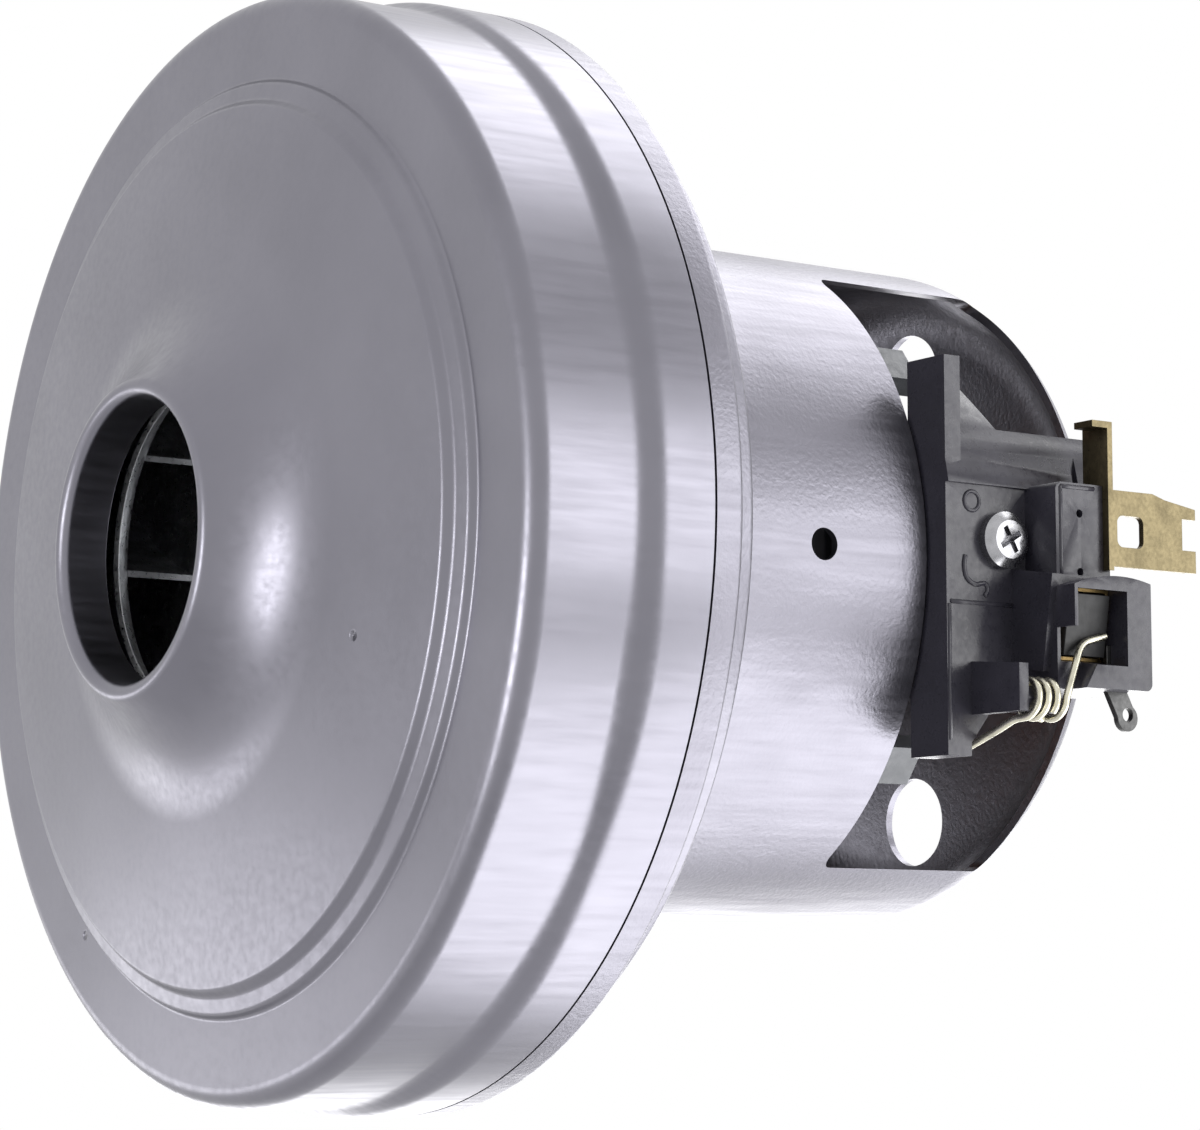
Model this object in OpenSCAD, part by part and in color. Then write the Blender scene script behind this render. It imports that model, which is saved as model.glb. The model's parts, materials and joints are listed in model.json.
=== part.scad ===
// Brushed vacuum cleaner motor with its fan stage, all sizes in millimetres.
// The motor axis is Y. Air enters at the -Y end through the fan cover, and the brushes stand on the X sides.
// The origin is on the axis, in the rim plane where the fan cover meets the motor housing.

/* [Fan cover] */
// Outer radius of the rim, where cover and housing meet
rim_r = 66; // [65:0.5:68]
// Distance from the rim plane to the flat front ring
cover_depth = 22.5; // [22.3:0.1:24]
// Thickness of the cover's sheet
cover_sheet = 0.8; // [0.6:0.1:1]
// How far the front part of the side is drawn in from the rim
side_step = 1.2; // [0.6:0.1:1.4]
// Length of the seat band ahead of the rim
seat_band = 8; // [7:0.5:10]
// Radius of the rounded front corner
cover_corner = 2.5; // [1.5:0.25:3]
// Outer radius of the low step around the raised front
ring_r = 54.6; // [54:0.1:55.5]
// Height of the low step above the flat ring
ring_rise = 0.9; // [0.6:0.1:1.2]
// Inner radius of the band on the low step
band_in = 52.1; // [51.9:0.1:52.7]
// How much the band rises from its outer to its inner edge
band_rise = 0.4; // [0.2:0.1:0.6]
// Radius of the cone's outer edge
cone_r = 51.3; // [50.5:0.1:51.5]
// Height of the cone's outer edge above the flat ring
cone_rise = 2.4; // [2:0.1:2.8]
// Slope of the cone in degrees
cone_angle = 6; // [5:0.5:7]
// Radius of the air inlet
inlet_r = 16.5; // [15.5:0.25:17]
// How far the inlet lip stands ahead of the flat front ring
inlet_reach = 12.9; // [12:0.1:13.5]
// Depth of the inlet bore behind its lip
inlet_depth = 6; // [5:0.25:6.5]
// Radius of the rolled lip
lip_round = 1.2; // [1.1:0.1:1.6]

/* [Motor housing] */
// Thickness of the housing's sheet
housing_sheet = 1; // [0.8:0.1:1.2]
// Length of the spigot that the cover is pressed on
spigot_len = 5; // [4:0.5:6]
// Length of the rim lip
lip_len = 3.6; // [3.2:0.2:4.4]
// How far the stepped pan behind the rim is drawn in from the rim
pan_step = 3.5; // [3:0.25:4.5]
// Depth of the pan behind the rim plane
pan_depth = 7.6; // [7:0.2:9]
// Outer radius of the motor cup
cup_r = 42.3; // [42:0.1:43]
// Distance from the rim plane to the cup's end face
cup_end = 79.4; // [78.5:0.2:82]
// Radius of the cup's rounded end corner
cup_corner = 8.8; // [7:0.2:10]
// Distance from the rim plane to the front edge of the brush windows
window_front = 48.3; // [47.9:0.1:48.5]
// Distance from the rim plane to the rear edge of the brush windows
window_rear = 74.5; // [74:0.1:75.5]
// Half of the height of the brush windows
window_half = 36.4; // [35:0.2:37.5]
// Corner radius of the brush windows
window_corner = 1.4; // [1:0.2:3]
// Radius of the vent holes in the end face
vent_r = 5.7; // [5:0.1:6]
// Distance of the vent holes above and below the motor axis
vent_reach = 29.4; // [28.6:0.2:30]
// How far the vent holes lie toward the near side
vent_side = 3.2; // [0:0.2:4]
// Radius of the small hole ahead of each window
stake_r = 1.9; // [1.5:0.1:2.2]
// Distance from the rim plane to that small hole
stake_y = 33; // [31:0.5:36]

/* [Brush line] */
// Angle of the brushes from the middle of the window, in degrees
brush_angle = -9.2; // [-11:0.2:-8]
// Distance from the rim plane to the middle of the brushes
brush_y = 64; // [63.8:0.1:64.5]
// Width of a brush along the motor axis
brush_w = 6.4; // [5.8:0.1:6.6]
// Thickness of a brush around the motor axis
brush_t = 7.4; // [6.8:0.1:7.6]
// Radius at which a new brush ends
brush_end = 53.4; // [52.8:0.1:54]
// Travel of a brush against its spring
brush_travel = 4; // [3:0.5:4]
// Wall of the brass brush guide
guide_wall = 0.5; // [0.4:0.1:0.6]

/* [Brush carrier] */
// Radius of the carrier's curved shoulder
shoulder_r = 46.8; // [46.4:0.1:47.2]
// Distance of the carrier's flat screw face from the motor axis
face_x = 45.5; // [45.2:0.1:46]
// Thickness of the carrier's front plate
plate_t = 2.4; // [2:0.1:2.8]
// Top of the carrier's front plate
plate_top = 23.4; // [22:0.2:24]
// Bottom of the carrier's front plate
plate_bottom = -24; // [-24.6:0.2:-23]
// Top of the raised terminal block
block_top = 8.6; // [8.2:0.1:9]
// Distance of the raised terminal block's face from the motor axis
block_x = 51; // [50.6:0.1:51.6]
// Distance of the brush box's outer face from the motor axis
box_x = 55.5; // [55.1:0.1:56]
// Wall of the carrier
carrier_wall = 1.4; // [1.2:0.1:1.6]
// Height of the carrier screw above the motor axis
screw_z = 1.75; // [1.5:0.05:2]
// Radius of the carrier screw's thread
screw_r = 1.5; // [1.3:0.1:1.6]
// Radius of the carrier screw's head
screw_head_r = 3.4; // [3:0.1:3.5]

/* [Brush springs] */
// Thickness of the spring wire
spring_wire = 0.9; // [0.8:0.05:0.95]
// Mean radius of the spring's coil
spring_r = 2.2; // [2.1:0.05:2.4]
// Distance from one turn of the coil to the next
spring_pitch = 1.4; // [1.38:0.02:1.5]

/* [Terminals] */
// Thickness of the terminal's brass
terminal_t = 0.8; // [0.7:0.1:0.9]
// Length of the terminal's tab
tab_len = 13.4; // [12:0.2:14]
// Height of the terminal's tab
tab_h = 9.2; // [8.8:0.1:9.4]

/* [Rotor] */
// Radius of the shaft
shaft_r = 4; // [4:0.1:4.2]
// Outer radius of the armature core
armature_r = 18.6; // [18:0.1:19]
// Length of the laminated stack
stack_len = 26; // [24:0.5:28]
// Distance from the rim plane to the front of the laminated stack
stack_front = 17; // [16.5:0.5:18]
// Number of slots in the armature core
slot_count = 12; // [11:1:12]
// Outer radius of the commutator
commutator_r = 11.5; // [11:0.1:11.8]
// Number of bars in the commutator
bar_count = 24; // [22:1:24]
// Running gap between armature and stator
air_gap = 0.6; // [0.4:0.1:0.8]

/* [Fan] */
// Outer radius of the impeller
impeller_r = 54; // [53:0.25:55]
// Thickness of the impeller's sheet
impeller_sheet = 0.8; // [0.6:0.1:0.9]
// Distance from the rim plane to the impeller's back disc
impeller_back = 13.2; // [12.8:0.1:13.4]
// Number of impeller blades
blade_count = 9; // [7:1:9]
// Running gap between impeller and cover
fan_gap = 1.4; // [1.2:0.1:1.6]
// Number of return vanes on the diffuser
vane_count = 12; // [9:1:13]

/* [Bearings] */
// Outer radius of the front bearing
front_bearing_r = 11; // [11:0.5:12]
// Width of the front bearing
front_bearing_w = 7; // [6.5:0.5:7]
// Outer radius of the rear bearing
rear_bearing_r = 9.5; // [9.5:0.25:10]
// Width of the rear bearing
rear_bearing_w = 6; // [5.5:0.25:6]

/* [Hidden] */

// Gaps that let pieces sit, slide and run
press_gap = 0.03;
seat_gap = 0.2;
slide_gap = 0.15;
run_gap = 0.3;

round_fn = 96;
small_fn = 48;

function unit(v) = v / norm(v);
function turn_left(v) = [-v[1], v[0]];

// Points on an arc round c, from angle a0 to a1
function arc(c, r, a0, a1, steps) =
    [for (i = [0:steps]) let (a = a0 + (a1 - a0) * i / steps) [c[0] + r * cos(a), c[1] + r * sin(a)]];

// One point of a path, moved to the left of the path by t
function side_point(p, i, t) =
    let (last = len(p) - 1,
        before = unit(i == 0 ? p[1] - p[0] : p[i] - p[i - 1]),
        after = unit(i == last ? p[last] - p[last - 1] : p[i + 1] - p[i]),
        m = turn_left(unit(before + after)))
    p[i] + t * m / (m * turn_left(after));

// A strip of sheet of thickness t on the left of a path
function strip(p, t) = concat(p, [for (i = [len(p) - 1:-1:0]) side_point(p, i, t)]);

// Turns a profile of radius and axial place round the motor axis
module revolve(points) {
    rotate([-90, 0, 0])
        rotate_extrude($fn = round_fn)
            polygon(points);
}

module tube(outer, inner, y0, y1) {
    revolve([[inner, y0], [outer, y0], [outer, y1], [inner, y1]]);
}

module disc(r, y0, y1) {
    translate([0, y0, 0])
        rotate([-90, 0, 0])
            cylinder(r = r, h = y1 - y0, $fn = round_fn);
}

// A flat shape drawn in X and Z, as thick as y0 to y1
module plate_y(y0, y1) {
    translate([0, y1, 0])
        rotate([90, 0, 0])
            linear_extrude(y1 - y0)
                children();
}

// A flat shape drawn in Y and Z, as thick as x0 to x1
module plate_x(x0, x1) {
    translate([x0, 0, 0])
        rotate([90, 0, 90])
            linear_extrude(x1 - x0)
                children();
}

module block(low, high) {
    translate(low)
        cube(high - low);
}

module rounded_rect(low, high, r) {
    difference() {
        translate(low)
            square(high - low);
        for (cx = [0, 1], cy = [0, 1])
            translate([cx == 0 ? low[0] : high[0], cy == 0 ? low[1] : high[1]])
                difference() {
                    square(2 * r, center = true);
                    translate([cx == 0 ? r : -r, cy == 0 ? r : -r])
                        circle(r = r, $fn = small_fn);
                }
    }
}

// A triangle that opens from the axis to both sides of +X, as far as r
module wedge(r, half_angle) {
    polygon([[0, 0], [r, -r * tan(half_angle)], [r, r * tan(half_angle)]]);
}

module other_side() {
    rotate([0, 180, 0])
        children();
}

// Fan cover
lip_angle = 55;
lip_y = -(cover_depth + inlet_reach);
lip_c = [inlet_r + lip_round, lip_y + lip_round];
trumpet_start = [lip_c[0] + lip_round * sin(lip_angle), lip_c[1] - lip_round * cos(lip_angle)];
ring_foot = 0.5;
cone_end = [cone_r, -(cover_depth + cone_rise)];
trumpet_r = (cone_end[1] - trumpet_start[1] - tan(cone_angle) * (cone_end[0] - trumpet_start[0]))
    / (cos(cone_angle) - cos(lip_angle) - tan(cone_angle) * (sin(lip_angle) - sin(cone_angle)));
side_r = rim_r - side_step;
trumpet_c = [trumpet_start[0] + trumpet_r * sin(lip_angle), trumpet_start[1] - trumpet_r * cos(lip_angle)];
trumpet_end_r = trumpet_c[0] - trumpet_r * sin(cone_angle);
inlet_inner_y = lip_y + inlet_depth;
cover_path = concat(
    [[inlet_r, inlet_inner_y]],
    arc(lip_c, lip_round, 180, 270 + lip_angle, 8),
    [for (i = [1:9]) let (a = lip_angle + (cone_angle - lip_angle) * i / 9)
        [trumpet_c[0] - trumpet_r * sin(a), trumpet_c[1] + trumpet_r * cos(a)]],
    [cone_end, [band_in, -(cover_depth + ring_rise + band_rise)],
        [ring_r - ring_foot, -(cover_depth + ring_rise)], [ring_r, -cover_depth]],
    arc([side_r - cover_corner, -cover_depth + cover_corner], cover_corner, -90, 0, 6),
    [[side_r, -seat_band - side_step], [rim_r, -seat_band + side_step], [rim_r, -seat_gap]]);

module fan_cover() {
    color("silver")
        revolve(strip(cover_path, cover_sheet));
}

// Motor housing
spigot_r = rim_r - cover_sheet - press_gap;
lip_edge = 0.7;
pan_r = rim_r - pan_step;
pan_foot = 0.5;
pan_edge = 0.8;
cup_foot = 3;
boss_foot = [2.2, 0.8];
// Outer leg of the boss's chamfered end, so that the inner leg stays clear of the bearing
boss_edge = 0.1 + housing_sheet * (2 - sqrt(2));
pan_floor_y = pan_depth - housing_sheet;
cup_in_r = cup_r - housing_sheet;
end_in_y = cup_end - housing_sheet;
boss_r = rear_bearing_r + press_gap + housing_sheet;
boss_room = 2;
boss_end = cup_end + rear_bearing_w + boss_room;
housing_path = concat(
    [[spigot_r, -spigot_len], [spigot_r, 0], [rim_r, 0], [rim_r, lip_len - lip_edge],
        [rim_r - lip_edge, lip_len], [pan_r + pan_foot, lip_len], [pan_r, lip_len + pan_foot],
        [pan_r, pan_depth - pan_edge], [pan_r - pan_edge, pan_depth]],
    arc([cup_r + cup_foot, pan_depth + cup_foot], cup_foot, 270, 180, 4),
    arc([cup_r - cup_corner, cup_end - cup_corner], cup_corner, 0, 90, 8),
    [[boss_r + boss_foot[0], cup_end], [boss_r, cup_end + boss_foot[1]], [boss_r, boss_end - boss_edge],
        [boss_r - boss_edge, boss_end], [0, boss_end]]);
vent_places = [for (z = [-vent_reach, vent_reach]) [vent_side, z]];

// Steel tongue under each carrier, bent in from the window's front edge
tongue_x = face_x - 7;
tongue_half = 2.8;
tongue_edge = 0.8;
tongue_root = window_front - 3;
screw_to_end = 2.6;
screw_y = brush_y - brush_w / 2 - slide_gap - guide_wall - carrier_wall - 1.7;
tongue_end = screw_y + screw_to_end;
module tongue() {
    plate_x(tongue_x - housing_sheet, tongue_x)
        rounded_rect([tongue_root, screw_z - tongue_half], [tongue_end, screw_z + tongue_half], tongue_edge);
    plate_y(tongue_root - housing_sheet, tongue_root)
        translate([tongue_x - housing_sheet, screw_z - tongue_half])
            square([cup_r - tongue_x, 2 * tongue_half]);
}
module screw_hole() {
    translate([0, screw_y, screw_z])
        rotate([0, 90, 0])
            cylinder(r = screw_r + press_gap, h = cup_r, $fn = small_fn);
}

module motor_housing() {
    color("gainsboro")
        difference() {
            union() {
                revolve(strip(housing_path, housing_sheet));
                tongue();
                other_side() tongue();
            }
            for (s = [0, 1])
                rotate([0, 180 * s, 0]) {
                    plate_x(cup_r / 4, cup_r + 1)
                        rounded_rect([window_front, -window_half], [window_rear, window_half], window_corner);
                    translate([0, stake_y, 0])
                        rotate([0, 90, 0])
                            cylinder(r = stake_r, h = cup_r + 1, $fn = small_fn);
                    screw_hole();
                }
            for (a = bracket_screw_angles)
                rotate([0, a, 0])
                    translate([bracket_screw_ring, pan_floor_y - 1, 0])
                        rotate([-90, 0, 0])
                            cylinder(r = bracket_screw_r + press_gap, h = housing_sheet + 2, $fn = small_fn);
            for (p = vent_places)
                translate([p[0], end_in_y - cup_corner, p[1]])
                    rotate([-90, 0, 0])
                        cylinder(r = vent_r, h = cup_corner + 2, $fn = small_fn);
        }
    color("gainsboro")
        for (s = [0, 1])
            rotate([0, 180 * s, 0])
                difference() {
                    tongue();
                    screw_hole();
                }
}

// Bearing bracket, a plate on the pan floor with the front bearing's seat
bracket_edge = 3;
bracket_r = pan_r - housing_sheet - bracket_edge;
bracket_t = 1.6;
bracket_rim = 2;
bracket_spoke = 3;
bracket_slots = 6;
slot_half_angle = 25.4;
bracket_front = pan_floor_y - bracket_t;
bracket_hub_r = front_bearing_r + press_gap + bracket_t;
end_turn = 8;
front_bearing_y = stack_front - end_turn - 1 - front_bearing_w;
front_stop_y = front_bearing_y - bracket_t;
bracket_screw_ring = (cup_r + pan_r) / 2;
bracket_screw_r = 1.9;
bracket_screw_angles = [45, 135, 225, 315];
module bearing_bracket() {
    color("lightgray")
        difference() {
            union() {
                disc(bracket_r, bracket_front, pan_floor_y);
                disc(bracket_hub_r, front_stop_y, front_bearing_y + front_bearing_w);
            }
            disc(front_bearing_r + press_gap, front_bearing_y, front_bearing_y + front_bearing_w + 1);
            disc(front_bearing_r - bracket_rim, front_stop_y - 1, front_bearing_y + 1);
            for (i = [0:bracket_slots - 1])
                rotate([0, i * 360 / bracket_slots, 0])
                    plate_y(bracket_front - 1, pan_floor_y + 1)
                        difference() {
                            intersection() {
                                circle(r = cup_in_r - bracket_rim, $fn = round_fn);
                                wedge(cup_r, slot_half_angle);
                            }
                            circle(r = bracket_hub_r + bracket_spoke, $fn = round_fn);
                        }
            for (a = bracket_screw_angles)
                rotate([0, a, 0])
                    translate([bracket_screw_ring, bracket_front - 1, 0])
                        rotate([-90, 0, 0])
                            cylinder(r = bracket_screw_r + press_gap, h = bracket_t + 2, $fn = small_fn);
        }
}

// Screws through the bracket into the pan floor, a low round head and a thread each
bracket_head_h = 1.6;
bracket_head_r = bracket_screw_r * 1.8;
bracket_screw_tip = 1.2;
recess_reach = 1.6;
recess_w = 0.6;
recess_h = 0.9;
module bracket_screws() {
    color("silver")
        for (a = bracket_screw_angles)
            rotate([0, a, 0])
                translate([bracket_screw_ring, 0, 0])
                    difference() {
                        union() {
                            translate([0, bracket_front - bracket_head_h, 0])
                                rotate([-90, 0, 0])
                                    cylinder(r = bracket_head_r, h = bracket_head_h, $fn = small_fn);
                            translate([0, bracket_front - bracket_head_h / 2, 0])
                                rotate([-90, 0, 0])
                                    cylinder(r = bracket_screw_r, $fn = small_fn,
                                        h = pan_depth + bracket_screw_tip - bracket_front + bracket_head_h / 2);
                        }
                        translate([0, bracket_front - bracket_head_h - 1, 0])
                            for (b = [0, 90])
                                rotate([0, b, 0])
                                    translate([-recess_reach, 0, -recess_w / 2])
                                        cube([2 * recess_reach, recess_h + 1, recess_w]);
                    }
}

// Diffuser, a plate behind the impeller with return vanes that stand on the bearing bracket
diffuser_front = -impeller_back + impeller_sheet + fan_gap;
diffuser_r = bracket_r;
diffuser_t = 2;
diffuser_bore = 13;
collar_t = 2;
vane_bend = 34;
vane_lean = 20;
vane_t = 1.6;
vane_in_r = 22;
vane_out_r = diffuser_r - 2;
module diffuser() {
    color("dimgray") {
        tube(diffuser_r, diffuser_bore, diffuser_front, diffuser_front + diffuser_t);
        tube(diffuser_bore + collar_t, diffuser_bore, diffuser_front, front_stop_y - seat_gap);
        difference() {
            for (i = [0:vane_count - 1])
                rotate([0, i * 360 / vane_count, 0])
                    plate_y(diffuser_front + diffuser_t / 2, bracket_front - press_gap)
                        difference() {
                            intersection() {
                                translate([diffuser_r / 2, -vane_lean])
                                    circle(r = vane_bend, $fn = round_fn);
                                translate([vane_in_r, 0])
                                    square([vane_out_r - vane_in_r, vane_bend]);
                            }
                            translate([diffuser_r / 2, -vane_lean - vane_t])
                                circle(r = vane_bend, $fn = round_fn);
                        }
            for (a = bracket_screw_angles)
                rotate([0, a, 0])
                    translate([bracket_screw_ring, diffuser_front + diffuser_t, 0])
                        rotate([-90, 0, 0])
                            cylinder(r = bracket_head_r + run_gap, h = pan_depth - diffuser_front, $fn = small_fn);
        }
    }
}

// Stator stack with its poles above and below the armature
stator_in_r = armature_r + air_gap;
yoke_t = 7.6;
yoke_in_r = cup_in_r - yoke_t;
stack_flat = 4.2;
shoe_t = 3.4;
pole_half = 12.5;
shoe_angle = 62;
stack_rear = stack_front + stack_len;
module stator_shape() {
    difference() {
        intersection() {
            circle(r = cup_in_r - press_gap, $fn = round_fn);
            square([2 * (cup_in_r - stack_flat), 2 * cup_in_r], center = true);
        }
        circle(r = yoke_in_r, $fn = round_fn);
    }
    difference() {
        union() {
            intersection() {
                square([2 * pole_half, 2 * cup_in_r], center = true);
                circle(r = yoke_in_r + 1, $fn = round_fn);
            }
            intersection() {
                circle(r = stator_in_r + shoe_t, $fn = round_fn);
                for (s = [90, 270])
                    rotate(s)
                        wedge(stator_in_r + shoe_t, shoe_angle);
            }
        }
        circle(r = stator_in_r, $fn = round_fn);
    }
}
module stator_core() {
    color("slategray")
        plate_y(stack_front, stack_rear)
            stator_shape();
}

// Field coils, each a closed winding round its pole
former_wall = 0.8;
coil_in = pole_half + former_wall + 2 * press_gap;
coil_low = stator_in_r - seat_gap;
// The coil's outer corner stays clear of the yoke, in the direction of the corner angle
coil_corner_r = yoke_in_r - 2.15;
coil_corner_angle = 51.23;
coil_high = coil_corner_r * sin(coil_corner_angle);
coil_width = coil_corner_r * cos(coil_corner_angle) - coil_in;
coil_round = 5;
coil_y0 = stack_front - former_wall - press_gap;
coil_y1 = stack_rear + former_wall + press_gap;
module coil_outline(grow, r) {
    rounded_rect([-coil_in - grow, coil_y0 - grow], [coil_in + grow, coil_y1 + grow], r);
}
module field_coil() {
    translate([0, 0, coil_low + former_wall])
        linear_extrude(coil_high - coil_low - former_wall)
            difference() {
                coil_outline(coil_width, coil_round);
                coil_outline(press_gap, former_wall);
            }
}
module field_coil_top() {
    color("peru") field_coil();
}
module field_coil_bottom() {
    color("peru") other_side() field_coil();
}

// Coil formers, a liner round each pole with two tabs that reach back into the windows
former_tab_angle = 37;
former_tab_half = 2.6;
former_tab_end = window_front + 6;
former_out_r = cup_in_r - 0.6;
former_in_r = cup_in_r - 3.4;
former_arc_half = 90 - former_tab_angle + 4;
former_rib = 1.2;
module coil_former() {
    translate([0, 0, coil_low])
        linear_extrude(coil_high - coil_low)
            difference() {
                coil_outline(-press_gap, former_wall);
                translate([-pole_half - press_gap, stack_front - press_gap])
                    square([2 * (pole_half + press_gap), stack_len + 2 * press_gap]);
            }
    for (a = [former_tab_angle, 180 - former_tab_angle])
        rotate([0, -a, 0])
            block([former_in_r, stack_rear + press_gap, -former_tab_half],
                [former_out_r, former_tab_end, former_tab_half]);
    plate_y(stack_rear + press_gap, stack_rear + press_gap + former_wall)
        intersection() {
            difference() {
                circle(r = former_out_r, $fn = round_fn);
                circle(r = former_in_r, $fn = round_fn);
            }
            rotate(90)
                wedge(cup_r, former_arc_half);
        }
    for (s = [-1, 1])
        block([s * (pole_half - 1) - former_rib, stack_rear + press_gap, coil_high - 1],
            [s * (pole_half - 1) + former_rib, stack_rear + press_gap + former_wall, former_in_r - 0.6]);
}
module coil_former_top() {
    color("darkslategray") coil_former();
}
module coil_former_bottom() {
    color("darkslategray") other_side() coil_former();
}

// Ball bearings: an outer ring, an inner ring, and balls in a cage
ball_share = 0.27;
ball_count = 7;
ring_land = 0.6;
cage_land = 0.4;
cage_share = 0.38;
cage_gap = 0.1;
function ball_ring(out_r, in_r) = (out_r + in_r) / 2;
function ball_size(out_r, in_r) = (out_r - in_r) * ball_share;
module ring_outer(out_r, in_r, y0, w) {
    difference() {
        tube(out_r, ball_ring(out_r, in_r) + ball_size(out_r, in_r) * ring_land, y0, y0 + w);
        ball_groove(out_r, in_r, y0 + w / 2);
    }
}
module ring_inner(out_r, in_r, y0, w) {
    difference() {
        tube(ball_ring(out_r, in_r) - ball_size(out_r, in_r) * ring_land, in_r + press_gap, y0, y0 + w);
        ball_groove(out_r, in_r, y0 + w / 2);
    }
}
module ball_groove(out_r, in_r, y) {
    translate([0, y, 0])
        rotate([-90, 0, 0])
            rotate_extrude($fn = round_fn)
                translate([ball_ring(out_r, in_r), 0])
                    circle(r = ball_size(out_r, in_r) + cage_gap / 2, $fn = small_fn);
}
module ball_set(out_r, in_r, y, w) {
    p = ball_ring(out_r, in_r);
    b = ball_size(out_r, in_r);
    for (i = [0:ball_count - 1])
        rotate([0, i * 360 / ball_count, 0])
            translate([p, y, 0])
                sphere(r = b, $fn = round_fn);
    difference() {
        tube(p + b * cage_land, p - b * cage_land, y - w * cage_share, y + w * cage_share);
        for (i = [0:ball_count - 1])
            rotate([0, i * 360 / ball_count, 0])
                translate([p - b, y, 0])
                    rotate([0, 90, 0])
                        cylinder(r = b + cage_gap, h = 2 * b, $fn = small_fn);
    }
}
rear_journal_r = shaft_r - 0.5;
rear_bearing_y = boss_end - housing_sheet - rear_bearing_w - seat_gap;
module front_bearing_outer() {
    color("lightsteelblue") ring_outer(front_bearing_r, shaft_r, front_bearing_y, front_bearing_w);
}
module front_bearing_inner() {
    color("lightsteelblue") ring_inner(front_bearing_r, shaft_r, front_bearing_y, front_bearing_w);
}
module front_bearing_balls() {
    color("white") ball_set(front_bearing_r, shaft_r, front_bearing_y + front_bearing_w / 2, front_bearing_w);
}
module rear_bearing_outer() {
    color("lightsteelblue") ring_outer(rear_bearing_r, rear_journal_r, rear_bearing_y, rear_bearing_w);
}
module rear_bearing_inner() {
    color("lightsteelblue") ring_inner(rear_bearing_r, rear_journal_r, rear_bearing_y, rear_bearing_w);
}
module rear_bearing_balls() {
    color("white") ball_set(rear_bearing_r, rear_journal_r, rear_bearing_y + rear_bearing_w / 2, rear_bearing_w);
}

// Shaft, stepped down to its rear journal
nut_h = 4.4;
washer_t = 1;
fan_stack_front = -impeller_back - washer_t - nut_h;
shaft_front = fan_stack_front - 1.5;
shaft_edge = 0.8;
shaft_rear = rear_bearing_y + rear_bearing_w;
module shaft() {
    color("lightgray")
        revolve([[0, shaft_front], [shaft_r - shaft_edge, shaft_front], [shaft_r, shaft_front + shaft_edge],
            [shaft_r, rear_bearing_y - 0.5], [rear_journal_r, rear_bearing_y], [rear_journal_r, shaft_rear],
            [0, shaft_rear]]);
}

// Armature: slotted core, winding with its end turns, and commutator
core_slot_r = 3;
tooth_tip = 1.6;
core_slot_ring = armature_r - core_slot_r - tooth_tip;
slot_mouth = 1.8;
module armature_core() {
    color("dimgray")
        plate_y(stack_front, stack_rear)
            difference() {
                circle(r = armature_r, $fn = round_fn);
                circle(r = shaft_r + press_gap, $fn = small_fn);
                for (i = [0:slot_count - 1])
                    rotate(i * 360 / slot_count) {
                        translate([core_slot_ring, 0])
                            circle(r = core_slot_r, $fn = small_fn);
                        translate([core_slot_ring, -slot_mouth / 2])
                            square([armature_r, slot_mouth]);
                    }
            }
}
winding_in_r = shaft_r + 2;
winding_out_r = armature_r - 1.2;
winding_slope = [2.4, 3];
module end_turns(y0, dir) {
    revolve([[winding_in_r, y0], [winding_out_r, y0], [winding_out_r, y0 + dir * (end_turn - winding_slope[1])],
        [winding_out_r - winding_slope[0], y0 + dir * end_turn], [winding_in_r + 1, y0 + dir * end_turn],
        [winding_in_r, y0 + dir * (end_turn - 1)]]);
}
module armature_winding() {
    color("sienna") {
        end_turns(stack_front - press_gap, -1);
        end_turns(stack_rear + press_gap, 1);
        for (i = [0:slot_count - 1])
            rotate([0, -i * 360 / slot_count, 0])
                translate([core_slot_ring, stack_front - 1, 0])
                    rotate([-90, 0, 0])
                        cylinder(r = core_slot_r - slide_gap, h = stack_len + 2, $fn = small_fn);
    }
}
commutator_half = 8.4;
commutator_front = brush_y - commutator_half;
commutator_rear = brush_y + commutator_half;
bar_in_r = commutator_r - 3;
riser_r = commutator_r + 1.6;
riser_len = 2;
bar_slot = 0.5;
module commutator_hub() {
    color("saddlebrown")
        tube(bar_in_r, shaft_r + press_gap, commutator_front - 1, commutator_rear + 1);
}
module commutator_bars() {
    color("orange")
        difference() {
            union() {
                tube(commutator_r, bar_in_r + press_gap, commutator_front, commutator_rear);
                tube(riser_r, bar_in_r + press_gap, commutator_front, commutator_front + riser_len);
            }
            for (i = [0:bar_count - 1])
                rotate([0, i * 360 / bar_count, 0])
                    translate([shaft_r, commutator_front - 1, -bar_slot / 2])
                        cube([riser_r, 2 * commutator_half + 2, bar_slot]);
        }
}

// Impeller: curved front disc, flat back disc and bent blades between them
eye_r = inlet_r + cover_sheet + fan_gap;
eye_bend = [1.2, 1.6];
eye_foot = [4.5, 3.1];
impeller_eye_y = inlet_inner_y + fan_gap + 0.6;
impeller_tip_y = -cover_depth + cover_sheet + fan_gap;
module impeller_front_disc() {
    color("silver")
        revolve(strip([[eye_r, impeller_eye_y], [eye_r, impeller_eye_y] + eye_bend,
            [eye_r, impeller_eye_y] + eye_foot, [impeller_r, impeller_tip_y]], impeller_sheet));
}
module impeller_back_disc() {
    color("silver")
        difference() {
            disc(impeller_r, -impeller_back, -impeller_back + impeller_sheet);
            disc(shaft_r + press_gap, -impeller_back - 1, 0);
        }
}
blade_t = 0.8;
blade_in_r = eye_r + 2;
blade_bend = 34;
blade_lean = 24.5;
blade_end_r = impeller_r - 0.6;
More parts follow.
